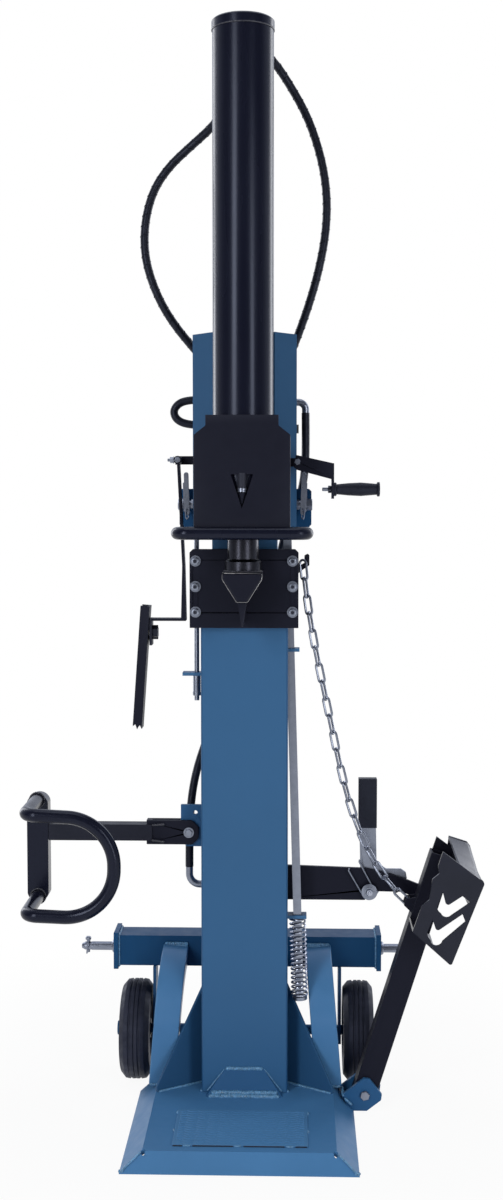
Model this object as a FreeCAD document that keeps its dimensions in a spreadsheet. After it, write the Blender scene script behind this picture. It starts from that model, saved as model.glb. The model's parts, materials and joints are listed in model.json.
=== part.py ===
"""Vertical tractor-mounted log splitter, modelled as separate pieces in millimetres.

Frame: +Z up, +X to the operator's right, the knife faces -Y. The origin is on the ground
under the centre of the column, in the underside of the sole plate.
"""
import FreeCAD, Part
import Sketcher
import math
import os
import re

V = FreeCAD.Vector
doc = FreeCAD.newDocument("LogSplitter")
sheet = doc.addObject("Spreadsheet::Sheet", "Sizes")

# ---------------------------------------------------------------- driving dimensions
SIZES = {
    # clearances
    "seat_gap": 0.3, "pin_gap": 0.15,
    # base
    "base_height": 45, "base_wall": 8, "base_front": -445, "base_corner": 25, "base_rear": 106,
    "base_half_width": 266, "base_rear_half": 232, "skirt_front": 20, "skirt_side": 50,
    "relief_hole": 6, "rib_wall": 8, "rib_half_gap": 112, "sole_depth": 160,
    "grip_half_width": 152, "grip_front": -398, "grip_depth": 197, "grip_thick": 3,
    # column and guide
    "tube_width": 155, "tube_depth": 150, "tube_wall": 8, "tube_top": 1855,
    "guide_width": 209, "guide_thick": 15, "guide_top": 1358, "guide_round": 4,
    # gussets
    "wedge_foot": 92, "wedge_top": 47.5, "wedge_height": 60, "wedge_reach": 28,
    "gusset_reach": 162, "gusset_top": 320, "gusset_thick": 8, "gusset_turn": 33.3,
    "gusset_root": -5, "gusset_toe": 12,
    # legs and crossbar
    "leg_width": 64, "leg_depth": 60, "leg_wall": 5, "leg_front": -48, "leg_foot": 209.5,
    "leg_top": 352, "leg_lean": 4.6, "bar_side": 78, "bar_height": 334, "bar_centre": 149,
    "bar_length": 659, "bar_wall": 6, "bar_end_side": 94, "bar_end_thick": 12,
    "link_pin_radius": 11, "link_pin_length": 87, "link_pin_body": 61,
    "link_collar_radius": 17, "link_collar": 8, "linch_hole": 5, "linch_inset": 16,
    # wheels
    "wheel_radius": 125, "wheel_width": 75, "wheel_centre": 282.5, "wheel_height": 126,
    "wheel_back": 127, "rim_radius": 72, "hub_radius": 24, "axle_radius": 12.5,
    "axle_overhang": 6, "hanger_thick": 8, "hanger_place": 236, "hanger_width": 56,
    # head and cylinder
    "head_half": 124, "head_cheek_front": -60, "head_cheek_rear": 5, "head_horn": 72,
    "head_horn_front": -118, "head_trough": 46, "head_wall": 8, "head_bottom": 1420,
    "head_tall": 457, "cylinder_axis": -165, "cylinder_radius": 70.5, "bore_radius": 60,
    "cylinder_seat": 60, "cylinder_length": 1094, "cap_height": 22, "cap_rim": 1.5,
    "gland_height": 50, "rod_radius": 36, "piston_height": 60,
    "rod_collar_radius": 43, "rod_collar": 30,
    # guard plate and ring bar
    "guard_front": -248, "guard_thick": 6, "guard_half": 109.5, "guard_neck": 83,
    "guard_skirt": 3, "guard_side": 215, "guard_slope": 21, "guard_crown": 24,
    "window_half": 25.5, "window_rise": 49, "window_tall": 77,
    "ring_radius": 14.5, "ring_half": 148, "ring_front": -262, "ring_drop": 8,
    "ring_bend": 26, "ring_rear": -206, "lug_outer": 160, "lug_below": 62, "lug_above": 38,
    "lug_thick": 10, "lock_rise": 54, "lock_front": -30, "lock_radius": 10,
    "lock_outer": 163, "lock_inner": 62, "toggle_below": 38,
    "toggle_above": 78, "toggle_width": 14, "toggle_place": 141,
    # carriage
    "plate_half": 129, "plate_thick": 15, "plate_front": -115, "plate_tall": 187,
    "plate_gap": 51, "bar_outer": 125, "clamp_inner": 86, "clamp_rear": -58,
    "clamp_front": -70, "bolt_place": 115, "bolt_radius": 6, "bolt_head": 9,
    "bolt_head_height": 10, "washer_radius": 13, "washer_thick": 3, "bolt_edge": 38,
    "bolt_pitch": 60.5, "bolt_depth": 20, "pad_inner": 62, "pad_outer": 100,
    # knife
    "foot_drop": 59, "knife_half": 45.5, "knife_waist": 12.5, "knife_brow": 6,
    "knife_taper": 52, "knife_point": 58, "knife_front": -250, "knife_step": 14,
    "knife_edge_half": 1.5, "knife_chamfer": 5,
    # lifter
    "hinge_side": 292.7, "hinge_height": 39.5, "hinge_radius": 10, "arm_front": -74,
    "arm_depth": 50, "arm_width": 57, "arm_lean": 17.5, "arm_length": 618, "arm_wall": 5,
    "ear_thick": 10, "ear_half": 34, "ear_reach": 62, "ear_tilt": -38, "ear_tip": 34,
    "cradle_front": -185, "cradle_thick": 6,
    # chain
    "chain_wire": 6, "link_pitch": 42, "link_width": 22, "chain_plane": -49,
    "chain_pin": 4, "chain_pin_along": 480, "chain_pin_reach": 15, "chain_ear": 5,
    # latch
    "latch_front": 4, "latch_thick": 10, "latch_pivot_side": 304.8,
    "latch_pivot_height": 521.6, "lever_thick": 8, "lever_half": 19, "lever_tall": 248.4,
    "latch_grip_rise": 156.4, "latch_grip_tall": 122, "latch_grip_half": 22.5,
    "latch_grip_depth": 26, "spring_disc": 20, "pivot_radius": 8,
    # log holder
    "holder_pivot_side": -138.2, "holder_pivot_height": 672.7, "holder_plane": -20,
    "holder_arm_half": 20, "holder_arm_reach": 344.8, "holder_plate_wide": 52,
    "holder_plate_below": 172.7, "holder_plate_above": 93.3, "holder_tube": 16,
    "holder_loop_front": -216, "holder_loop_inset": 14, "holder_loop_nose": 209,
    "holder_loop_corner": 28, "fork_reach": 89.8, "fork_half": 30,
    "fork_thick": 9, "tongue_thick": 10, "holder_stop_hole": 5,
    # controls
    "left_pivot_side": -155, "control_height": 1579, "left_plane": -104,
    "strip_tall": 380, "strip_thick": 6, "strip_depth": 34, "strip_lean": 9,
    "strip_drop": 131, "foot_reach": 69, "tab_half": 20, "tab_length": 58,
    "claw_rise": 36, "claw_length": 299, "claw_width": 22, "claw_lean": 4,
    "claw_depth": 24, "claw_wall": 5, "claw_notch": 16, "claw_offset": 9, "claw_bolt": 5,
    "claw_bolt_side": 13, "knob_radius": 17, "knob_thick": 13, "knob_stud": 4,
    "knob_drop": 28, "stud_radius": 5, "stud_plate": 10, "stud_cap": 4,
    "boss_radius": 9.5, "boss_depth": 36, "mount_front": -82,
    "right_pivot_side": 126, "right_height": 1574, "right_plane": -105, "right_arm": 86,
    "right_bar": 37, "right_fall": 22, "grip_radius": 16, "grip_length": 103,
    "grip_drop": 64, "grip_gap": 5, "grip_stud": 5, "grip_nut": 8,
    # control rods
    "rod_side": 20, "rod_drop": 20, "rod_low": 262, "rod_top_place": 102,
    "rod_low_place": 134, "rod_plane": -40, "spring_radius": 21.5, "spring_length": 195,
    "spring_nut": 8, "rod_guide_high": 1120, "thin_rod": 6,
    "thin_place": -117, "thin_tail": 61, "thin_seat": 20, "thin_collar": 8,
    "thin_plate": 1061,
    # rear drive
    "gearbox_half": 68, "gearbox_depth": 110, "gearbox_low": 515, "gearbox_tall": 205,
    "gearbox_corner": 22, "boss_round": 34, "gearbox_flange": 10,
    "pto_rise": 60, "pto_radius": 17.45, "pto_length": 78, "pump_rise": 145,
    "pump_half": 45, "pump_depth": 105, "top_link_rise": 74, "top_link_radius": 9.75,
    "top_link_gap": 52, "top_link_ear": 12, "top_link_reach": 60, "top_link_half": 32,
    "valve_half": 108, "valve_low": 1640, "valve_tall": 112, "valve_depth": 74,
    "hose_radius": 10, "elbow_reach": 146, "union_radius": 15, "union_length": 24,
    "ferrule_radius": 12.5, "ferrule_length": 12.7, "valve_stub": 19.7,
}
# places that follow from the sizes above
PLACES = {
    "grip_rear": "grip_front + grip_depth",
    "head_top": "head_bottom + head_tall",
    "cylinder_bottom": "head_bottom + cylinder_seat",
    "cylinder_top": "cylinder_bottom + cylinder_length",
    "guard_bottom": "head_bottom - guard_skirt",
    "guard_shoulder": "guard_bottom + guard_side",
    "guard_chamfer": "guard_shoulder + guard_slope",
    "guard_top": "guard_chamfer + guard_crown",
    "window_tip": "guard_bottom + window_rise",
    "window_top": "window_tip + window_tall",
    "ring_height": "guard_bottom - ring_drop",
    "lock_height": "head_bottom + lock_rise",
    "lug_bottom": "lock_height - lug_below", "lug_top": "lock_height + lug_above",
    "toggle_low": "lock_height - toggle_below", "toggle_high": "lock_height + toggle_above",
    "rod_top": "head_bottom - rod_drop", "thin_top": "head_bottom - rod_drop",
    "plate_high": "head_bottom - plate_gap",
    "plate_low": "plate_high - plate_tall", "bolt_low": "plate_low + bolt_edge",
    "rod_foot": "plate_high - foot_drop", "knife_top": "rod_foot + spring_nut",
    "knife_shoulder": "rod_foot - knife_brow",
    "knife_waist_height": "knife_shoulder - knife_taper",
    "knife_edge": "knife_waist_height - knife_point",
    "lever_top": "latch_pivot_height + lever_tall",
    "latch_grip_low": "latch_pivot_height + latch_grip_rise",
    "latch_grip_high": "latch_grip_low + latch_grip_tall",
    "holder_arm_end": "holder_pivot_side - holder_arm_reach",
    "holder_plate_end": "holder_arm_end - holder_plate_wide",
    "holder_plate_low": "holder_pivot_height - holder_plate_below",
    "holder_plate_high": "holder_pivot_height + holder_plate_above",
    "fork_end": "holder_pivot_side - fork_reach",
    "left_foot": "control_height - strip_tall", "foot_outer": "left_pivot_side - foot_reach",
    "claw_high": "left_foot + claw_rise", "claw_low": "claw_high - claw_length",
    "knob_height": "left_foot - knob_drop",
    "right_reach": "right_pivot_side + right_arm", "grip_height": "right_height - grip_drop",
    "grip_start": "right_reach + grip_gap",
    "rod_guide_low": "rod_low + spring_nut + spring_length + 4 * seat_gap",
    "gearbox_high": "gearbox_low + gearbox_tall", "pto_height": "gearbox_low + pto_rise",
    "pump_height": "gearbox_low + pump_rise",
    "top_link_height": "gearbox_high + top_link_rise",
    "valve_high": "valve_low + valve_tall",
}
for row, (name, value) in enumerate(SIZES.items(), start=1):
    sheet.set(f"A{row}", str(value))
    sheet.setAlias(f"A{row}", name)
doc.recompute()
for row, (name, rule) in enumerate(PLACES.items(), start=1):
    sheet.set(f"B{row}", f"={rule}")
    sheet.setAlias(f"B{row}", name)
    doc.recompute()


# ---------------------------------------------------------------- small helpers
def bound(text):
    """Write every sheet name in an expression as a reference to the sheet."""
    def refer(match):
        word = match.group(0)
        return f"Sizes.{word}" if word in SIZES or word in PLACES else word
    return re.sub(r"[a-z_]+", refer, str(text))


def number(text):
    """The present value of an expression in the sheet's names."""
    return float(sheet.evalExpression(bound(text)))


def point(*terms):
    return V(*[number(term) for term in terms])


def place(thing, x="0", y="0", z="0", axis=None, angle="0"):
    """Bind an object's position, and its turn about one axis, to the sheet."""
    if axis is not None:
        thing.Placement = FreeCAD.Placement(V(), FreeCAD.Rotation(axis, number(angle)))
        thing.setExpression("Placement.Rotation.Angle", bound(angle))
    for letter, text in zip("xyz", (x, y, z)):
        thing.setExpression(f"Placement.Base.{letter}", bound(text))
    return thing


def box(x, y, z, length, width, height):
    """A block from its low corner."""
    block = doc.addObject("Part::Box", "Block")
    block.setExpression("Length", bound(length))
    block.setExpression("Width", bound(width))
    block.setExpression("Height", bound(height))
    return place(block, x, y, z)


def cylinder(direction, x, y, z, radius, height):
    """A round bar that starts at a point and runs along +X, +Y or +Z."""
    bar = doc.addObject("Part::Cylinder", "Bar")
    turns = {"X": FreeCAD.Rotation(V(0, 1, 0), 90), "Y": FreeCAD.Rotation(V(1, 0, 0), -90),
             "Z": FreeCAD.Rotation()}
    bar.Placement = FreeCAD.Placement(V(), turns[direction])
    bar.setExpression("Radius", bound(radius))
    bar.setExpression("Height", bound(height))
    return place(bar, x, y, z)


def fuse(*things):
    joined = doc.addObject("Part::MultiFuse", "Joined")
    joined.Shapes = list(things)
    joined.Refine = True
    return joined


def cut(base, *tools):
    holed = doc.addObject("Part::Cut", "Holed")
    holed.Base = base
    holed.Tool = tools[0] if len(tools) == 1 else fuse(*tools)
    return holed


def group(*things):
    """Separate solids that share one node."""
    bundle = doc.addObject("Part::Compound", "Bundle")
    bundle.Links = list(things)
    return bundle


def shaped(shape, x="0", y="0", z="0"):
    """A feature made with Part's own functions, then placed."""
    feature = doc.addObject("Part::Feature", "Shaped")
    feature.Shape = shape
    feature.Placement = FreeCAD.Placement(point(x, y, z), FreeCAD.Rotation())
    return feature


def new_body():
    return doc.addObject("PartDesign::Body", "Piece")


def sketch_on(body, plane, offset="0"):
    """A sketch on one of the body's origin planes, moved along that plane's normal."""
    sketch = body.newObject("Sketcher::SketchObject", "Outline")
    origin = [item for item in body.Origin.OriginFeatures if item.Role == f"{plane}_Plane"]
    sketch.AttachmentSupport = [(origin[0], "")]
    sketch.MapMode = "FlatFace"
    sketch.setExpression("AttachmentOffset.Base.z", bound(offset))
    return sketch


def outline(sketch, corners, arcs=None):
    """A closed outline through corners; arcs gives a radius for a side, by its number."""
    arcs = arcs or {}
    places = [point(across, along, 0) for across, along in corners]
    count = len(places)
    for side, start in enumerate(places):
        end = places[(side + 1) % count]
        if side in arcs:
            radius, bulge = arcs[side]
            chord = end - start
            across = V(-chord.y, chord.x, 0).normalize() * bulge
            depth = math.sqrt(max(number(radius) ** 2 - (chord.Length / 2) ** 2, 0))
            rise = number(radius) - depth
            middle = (start + end) * 0.5 + across * rise
            sketch.addGeometry(Part.Arc(start, middle, end), False)
        else:
            sketch.addGeometry(Part.LineSegment(start, end), False)
    # the sketcher runs every arc anticlockwise, so one that bulges left is stored end first
    first_end = [2 if side in arcs and arcs[side][1] > 0 else 1 for side in range(count)]
    for side, (across, along) in enumerate(corners):
        following = (side + 1) % count
        begins = first_end[side]
        sketch.addConstraint(Sketcher.Constraint(
            "Coincident", side, 3 - begins, following, first_end[following]))
        for kind, text in (("DistanceX", across), ("DistanceY", along)):
            value = number(text)
            rule = sketch.addConstraint(Sketcher.Constraint(kind, -1, 1, side, begins, value))
            sketch.setExpression(f"Constraints[{rule}]", bound(text))
    for side, (radius, bulge) in arcs.items():
        rule = sketch.addConstraint(Sketcher.Constraint("Radius", side, number(radius)))
        sketch.setExpression(f"Constraints[{rule}]", bound(radius))
    return sketch


def add_pad(body, plane, corners, length, offset="0", arcs=None):
    pad = body.newObject("PartDesign::Pad", "Pad")
    pad.Profile = outline(sketch_on(body, plane, offset), corners, arcs)
    pad.setExpression("Length", bound(length))
    return pad


def add_pocket(body, plane, corners, length, offset="0", arcs=None):
    """A pocket that runs along the plane's own normal, from the offset."""
    pocket = body.newObject("PartDesign::Pocket", "Pocket")
    pocket.Profile = outline(sketch_on(body, plane, offset), corners, arcs)
    pocket.setExpression("Length", bound(length))
    pocket.Reversed = True
    return pocket


def padded(plane, corners, length, offset="0", arcs=None):
    body = new_body()
    add_pad(body, plane, corners, length, offset, arcs)
    return body


def slab(corners, front, thick, arcs=None):
    """A flat plate in an XZ plane: its front is at y = front, its back at front + thick."""
    return padded("XZ", corners, thick, f"-({front}) - ({thick})", arcs)


def lofted(outlines, plane="XY"):
    """A solid through outlines in parallel planes; each is (its place, corners)."""
    body = new_body()
    sketches = [outline(sketch_on(body, plane, where), corners) for where, corners in outlines]
    loft = body.newObject("PartDesign::AdditiveLoft", "Loft")
    loft.Profile = sketches[0]
    loft.Sections = sketches[1:]
    loft.Ruled = True
    return body


def revolved(plane, corners, axis):
    """A turned piece; the outline lies in a plane that holds the axis."""
    body = new_body()
    sketch = outline(sketch_on(body, plane), corners)
    turn = body.newObject("PartDesign::Revolution", "Turned")
    turn.Profile = sketch
    turn.ReferenceAxis = (sketch, [axis])
    turn.Angle = 360
    return body


def rectangle(left, right, low, high):
    return [(left, low), (right, low), (right, high), (left, high)]


def both_sides(half_corners):
    """Mirror the right half of a symmetric outline, given from top to bottom."""
    left = [(f"-({across})", along) for across, along in reversed(half_corners)]
    return half_corners + left


def rounded_route(route):
    """Straight runs joined by tangent arcs: the arcs' edges and their radii."""
    edges = []
    radii = []
    begin = route[0]
    for before, corner, after in zip(route, route[1:], route[2:]):
        inward = (before - corner).normalize()
        onward = (after - corner).normalize()
        half_turn = (math.pi - inward.getAngle(onward)) / 2
        reach = 0.45 * min((before - corner).Length, (after - corner).Length)
        radius = reach / math.tan(half_turn)
        start = corner + inward * reach
        end = corner + onward * reach
        bisector = (inward + onward).normalize()
        middle = corner + bisector * (radius / math.cos(half_turn) - radius)
        if (start - begin).Length > 0.01:
            edges.append(Part.LineSegment(begin, start).toShape())
        edges.append(Part.Arc(start, middle, end).toShape())
        radii.append(radius)
        begin = end
    edges.append(Part.LineSegment(begin, route[-1]).toShape())
    return edges, radii


def tube_along(route, radius, name):
    """A round solid along a route; prints the bend radii and checks the volume."""
    edges, radii = rounded_route(route)
    wire = Part.Wire(edges)
    start = edges[0].tangentAt(edges[0].FirstParameter)
    ring = Part.Wire([Part.Circle(route[0], start, radius).toShape()])
    solid = wire.makePipeShell([ring], True, False)
    expected = math.pi * radius ** 2 * wire.Length
    print(f"{name}: bends {[round(value) for value in radii]}, length {wire.Length:.0f},"
          f" volume ratio {solid.Volume / expected:.4f}")
    return solid


NODES = []
HULLS = {}


def node(name, thing):
    thing.Label = name
    NODES.append(thing)
    return thing


SIDES = (("left", -1), ("right", 1))


# ---------------------------------------------------------------- base
def base_outline(inset_front, inset_side, wall):
    """The base's right half, moved in by a skirt's slope and a wall."""
    across = f"base_half_width - ({inset_side}) - ({wall})"
    across_rear = f"base_rear_half - ({inset_side}) - ({wall})"
    front = f"base_front + ({inset_front}) + ({wall})"
    rear = f"base_rear - ({wall})"
    return both_sides([(across_rear, rear), (across, "base_corner"), (across, front)])


def build_base():
    outer = lofted([("0", base_outline("0", "0", "0")),
                    ("base_height", base_outline("skirt_front", "skirt_side", "0"))])
    inner = lofted([("0", base_outline("0", "0", "base_wall")),
                    ("base_height - base_wall",
                     base_outline("skirt_front", "skirt_side", "base_wall"))])
    corner_x = "base_half_width - skirt_side - 2"
    holes = [cylinder("Z", f"{sign} * ({corner_x})", "base_front + skirt_front + 2", "0",
                      "relief_hole", "base_height + 5") for name, sign in SIDES]
    node("base_plate", cut(outer, inner, *holes))
    HULLS["base"] = outer

    rib_height = "base_height - base_wall"
    rib_length = "base_rear - base_wall - (base_front + skirt_front + base_wall) - 10"
    rib_front = "base_front + skirt_front + base_wall + 5"
    ribs = [box(f"{sign} * rib_half_gap - rib_wall / 2", rib_front, "0", "rib_wall",
                rib_length, rib_height) for name, sign in SIDES]
    sole = box("-rib_half_gap", "-sole_depth / 2", "0", "2 * rib_half_gap", "sole_depth",
               "base_wall")
    front_rib = box("-rib_half_gap", "grip_front + 60", "0", "2 * rib_half_gap", "rib_wall",
                    rib_height)
    mid_rib = box("-rib_half_gap", "grip_rear", "0", "2 * rib_half_gap", "rib_wall", rib_height)
    web = box("-rib_wall / 2", "-sole_depth / 2", "0", "rib_wall", "sole_depth", rib_height)
    node("base_ribs", fuse(*ribs, sole, front_rib, mid_rib, web))
    node("grip_plate", box("-grip_half_width", "grip_front", "base_height",
                           "2 * grip_half_width", "grip_rear - grip_front", "grip_thick"))


# ---------------------------------------------------------------- column
TUBE_FRONT = "(-tube_depth / 2)"
GUIDE_FRONT = "(-tube_depth / 2 - guide_thick)"


def build_column():
    body = padded("XY", rectangle("-tube_width / 2", "tube_width / 2", TUBE_FRONT,
                                  "tube_depth / 2"), "tube_top - base_height", "base_height")
    add_pocket(body, "XY", rectangle("-tube_width / 2 + tube_wall", "tube_width / 2 - tube_wall",
                                     f"{TUBE_FRONT} + tube_wall", "tube_depth / 2 - tube_wall"),
               "tube_top - base_height", "base_height")
    holes = cylinder("X", "-head_half", "lock_front", "lock_height", "lock_radius + pin_gap",
                     "2 * head_half")
    node("column", cut(body, holes))
    edge = "guide_round"
    half = "guide_width / 2"
    node("guide_plate", padded("XY", both_sides([
        (half, TUBE_FRONT), (half, f"{GUIDE_FRONT} + {edge}"),
        (f"{half} - {edge}", GUIDE_FRONT)]), "guide_top - base_height", "base_height"))


def build_gussets():
    back = GUIDE_FRONT
    foot = rectangle("-wedge_foot", "wedge_foot", f"{back} - wedge_reach", back)
    top = rectangle("-wedge_top", "wedge_top", f"{back} - 4", back)
    node("front_gusset", lofted([("base_height", foot), ("base_height + wedge_height", top)]))
    plates = []
    for name, sign in SIDES:
        corners = [("-gusset_toe", "base_height"), ("gusset_reach", "base_height"),
                   ("gusset_reach", "base_height + gusset_toe"),
                   ("gusset_toe", "gusset_top"), ("-gusset_toe", "gusset_top")]
        plate = slab([(f"{sign} * ({across})", height) for across, height in corners],
                     "0", "gusset_thick")
        place(plate, f"{sign} * tube_width / 2", "gusset_root", "0", V(0, 0, 1),
              f"-({sign}) * gusset_turn")
        tube = box("-tube_width / 2", TUBE_FRONT, "0", "tube_width", "tube_depth", "tube_top")
        plates.append(cut(plate, tube))
    node("side_gussets", group(*plates))


# ---------------------------------------------------------------- legs, crossbar, wheels
BAR_FRONT = "(bar_centre - bar_side / 2)"


def leg(sign):
    """A rectangular tube that leaves the crossbar level and bends down to the base."""
    front = "leg_front"
    back = "(leg_front + leg_depth)"
    outer = f"({BAR_FRONT} - leg_front)"
    inner = f"({BAR_FRONT} - leg_front - leg_depth)"
    bend_height = f"(leg_top - ({outer}))"

    def section(wall):
        corners = [(f"{front} + {wall}", "base_height - leg_lean * 3"),
                   (f"{front} + {wall}", bend_height),
                   (BAR_FRONT, f"leg_top - {wall}"),
                   (BAR_FRONT, f"leg_top - leg_depth + {wall}"),
                   (f"{back} - {wall}", bend_height),
                   (f"{back} - {wall}", "base_height - leg_lean * 3")]
        return corners, {1: (f"{outer} - {wall}", 1), 3: (f"{inner} + {wall}", -1)}

    body = new_body()
    corners, arcs = section("0")
    add_pad(body, "YZ", corners, "leg_width", "-leg_width / 2", arcs)
    corners, arcs = section("leg_wall")
    add_pocket(body, "YZ", corners, "leg_width - 2 * leg_wall", "leg_wall - leg_width / 2", arcs)
    place(body, f"{sign} * leg_foot", "0", "0", V(0, 1, 0), f"-({sign}) * leg_lean")
    ground = box(f"{sign} * leg_foot - leg_width", "leg_front - 1", "-leg_width",
                 "2 * leg_width", "leg_depth + 2", "leg_width + base_height")
    return cut(body, ground)


def build_legs():
    for name, sign in SIDES:
        node(f"leg_{name}", leg(sign))


def build_crossbar():
    half = "bar_length / 2"
    square = rectangle(BAR_FRONT, f"{BAR_FRONT} + bar_side", "bar_height - bar_side / 2",
                       "bar_height + bar_side / 2")
    body = padded("YZ", square, "bar_length", f"-{half}")
    inner = rectangle(f"{BAR_FRONT} + bar_wall", f"{BAR_FRONT} + bar_side - bar_wall",
                      "bar_height - bar_side / 2 + bar_wall",
                      "bar_height + bar_side / 2 - bar_wall")
    add_pocket(body, "YZ", inner, "bar_length", f"-{half}")
    ends = []
    for name, sign in SIDES:
        start = f"{sign} * ({half} + bar_end_thick / 2) - bar_end_thick / 2"
        ends.append(box(start, "bar_centre - bar_end_side / 2", "bar_height - bar_end_side / 2",
                        "bar_end_thick", "bar_end_side", "bar_end_side"))
    saddle = box("-tube_width / 2", "tube_depth / 2", "bar_height - bar_side / 2",
                 "tube_width", f"{BAR_FRONT} - tube_depth / 2", "bar_side")
    node("crossbar", fuse(body, *ends, saddle))
    pins = []
    for name, sign in SIDES:
        turned = [("0", "0"), ("0", "link_collar_radius"), ("link_collar - 3", "link_collar_radius"),
                  ("link_collar", "link_collar_radius - 3"), ("link_collar", "link_pin_radius"),
                  ("link_pin_body", "link_pin_radius"), ("link_pin_body", "link_pin_radius - 0.6"),
                  ("link_pin_length - 9", "link_pin_radius - 0.6"),
                  ("link_pin_length", "link_pin_radius * 0.55"), ("link_pin_length", "0")]
        pin = revolved("XZ", [(f"{sign} * ({along})", radius) for along, radius in turned],
                       "H_Axis")
        place(pin, f"{sign} * ({half} + bar_end_thick)", "bar_centre", "bar_height")
        hole = cylinder("Z", f"{sign} * ({half} + bar_end_thick + link_pin_length - linch_inset)",
                        "bar_centre", "bar_height - link_pin_radius - 4",
                        "linch_hole + pin_gap", "2 * link_pin_radius + 8")
        pins.append(cut(pin, hole))
    node("link_pins", group(*pins))


def build_wheels():
    half = "(wheel_centre + wheel_width / 2 + axle_overhang)"
    shaft = cylinder("X", f"-{half}", "wheel_back", "wheel_height", "axle_radius", f"2 * {half}")
    caps = []
    hangers = []
    for name, sign in SIDES:
        caps.append(cylinder("X", f"{sign} * ({half} + 4) - 4", "wheel_back", "wheel_height",
                             "axle_radius + 5", "8"))
        hangers.append(box(f"{sign} * hanger_place - hanger_thick / 2",
                           "wheel_back - hanger_width / 2", "wheel_height - hanger_width / 2",
                           "hanger_thick", "hanger_width",
                           "bar_height - bar_side / 2 - wheel_height + hanger_width / 2"))
    node("wheel_axle", fuse(shaft, *caps, *hangers))
    for name, sign in SIDES:
        width = "wheel_width"
        shoulder = "wheel_radius * 0.9"
        low = "-wheel_width / 2"
        high = "wheel_width / 2"
        groove = [(f"wheel_width * {step}", depth) for step, depth in
                  ((0.20, "0"), (0.18, "3"), (0.14, "3"), (0.12, "0"),
                   (0.02, "0"), (0.0, "3"), (-0.02, "0"),
                   (-0.12, "0"), (-0.14, "3"), (-0.18, "3"), (-0.20, "0"))]
        tread = [(across, f"wheel_radius - {depth}") for across, depth in groove]
        ring = [(low, "rim_radius + seat_gap"), (high, "rim_radius + seat_gap"),
                (high, f"{shoulder} - 4"), (f"{high} - 12", "wheel_radius - 2")]
        ring += tread + [(f"{low} + 12", "wheel_radius - 2"), (low, f"{shoulder} - 4")]
        tyre = revolved("XZ", ring, "H_Axis")
        node(f"tyre_{name}", place(tyre, f"{sign} * wheel_centre", "wheel_back", "wheel_height"))
        rim = [("-wheel_width / 2 + 4", "axle_radius + pin_gap"),
               ("wheel_width / 2 - 4", "axle_radius + pin_gap"),
               ("wheel_width / 2 - 4", "hub_radius"), ("8", "hub_radius + 6"),
               ("8", "rim_radius - 10"), ("wheel_width / 2 - 8", "rim_radius - 6"),
               ("wheel_width / 2 - 8", "rim_radius"), ("-wheel_width / 2 + 8", "rim_radius"),
               ("-wheel_width / 2 + 8", "rim_radius - 6"), ("-8", "rim_radius - 10"),
               ("-8", "hub_radius + 6"), ("-wheel_width / 2 + 4", "hub_radius")]
        hub = revolved("XZ", rim, "H_Axis")
        node(f"wheel_hub_{name}",
             place(hub, f"{sign} * wheel_centre", "wheel_back", "wheel_height"))


# ---------------------------------------------------------------- head, cylinder, guard
TROUGH = "(cylinder_axis + cylinder_radius + seat_gap)"


def build_head():
    shell = [("head_half", "head_cheek_rear"), ("head_half", "head_cheek_front"),
             ("head_horn", "head_horn_front"), ("head_trough", TROUGH)]
    inside = [("head_half - head_wall", "head_cheek_rear"),
              ("head_half - head_wall", "head_cheek_front + head_wall / 3"),
              ("head_horn + 3", "head_horn_front + head_wall * 1.3"),
              ("head_trough + 6", f"{TROUGH} + head_wall")]
    inner = [(f"-({across})", along) for across, along in inside]
    outer_left = [(f"-({across})", along) for across, along in reversed(shell)]
    profile = shell + outer_left + inner + list(reversed(inside))
    body = padded("XY", profile, "head_top - head_bottom", "head_bottom")
    bridges = [box("-head_half + head_wall / 2", "head_cheek_rear - head_wall", height,
                   "head_half - head_wall / 2 - tube_width / 2 - 0.0", "head_wall", "60")
               for height in ("head_bottom + 20", "head_top - 120")]
    bridges += [box("tube_width / 2", "head_cheek_rear - head_wall", height,
                    "head_half - head_wall / 2 - tube_width / 2", "head_wall", "60")
                for height in ("head_bottom + 20", "head_top - 120")]
    lugs = []
    for name, sign in SIDES:
        inner_x = f"{sign} * (head_half - 1)"
        outer_x = f"{sign} * lug_outer"
        lugs.append(slab([(inner_x, "lug_bottom + 8"), (f"{sign} * (lug_outer - 12)", "lug_bottom"),
                          (outer_x, "lug_bottom + 14"), (outer_x, "lug_top - 6"),
                          (f"{sign} * (lug_outer - 6)", "lug_top"), (inner_x, "lug_top")],
                         "lock_front + lock_radius + 5", "lug_thick"))
    holes = cylinder("X", "-head_half - 2", "lock_front", "lock_height", "lock_radius + pin_gap",
                     "2 * head_half + 4")
    node("head", cut(fuse(body, *bridges, *lugs), holes))


def build_cylinder():
    bore = "bore_radius"
    outer = "cylinder_radius"
    profile = [("rod_radius + pin_gap", "cylinder_bottom"), (outer, "cylinder_bottom"),
               (outer, "cylinder_top - cap_height"),
               (f"{outer} + cap_rim", "cylinder_top - cap_height"),
               (f"{outer} + cap_rim", "cylinder_top - 4"), (f"{outer} - 3", "cylinder_top"),
               ("0", "cylinder_top"), ("0", "cylinder_top - cap_height"),
               (bore, "cylinder_top - cap_height"),
               (bore, "cylinder_bottom + gland_height"),
               ("rod_radius + pin_gap", "cylinder_bottom + gland_height")]
    node("cylinder_tube", place(revolved("XZ", profile, "V_Axis"), "0", "cylinder_axis", "0"))


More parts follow.
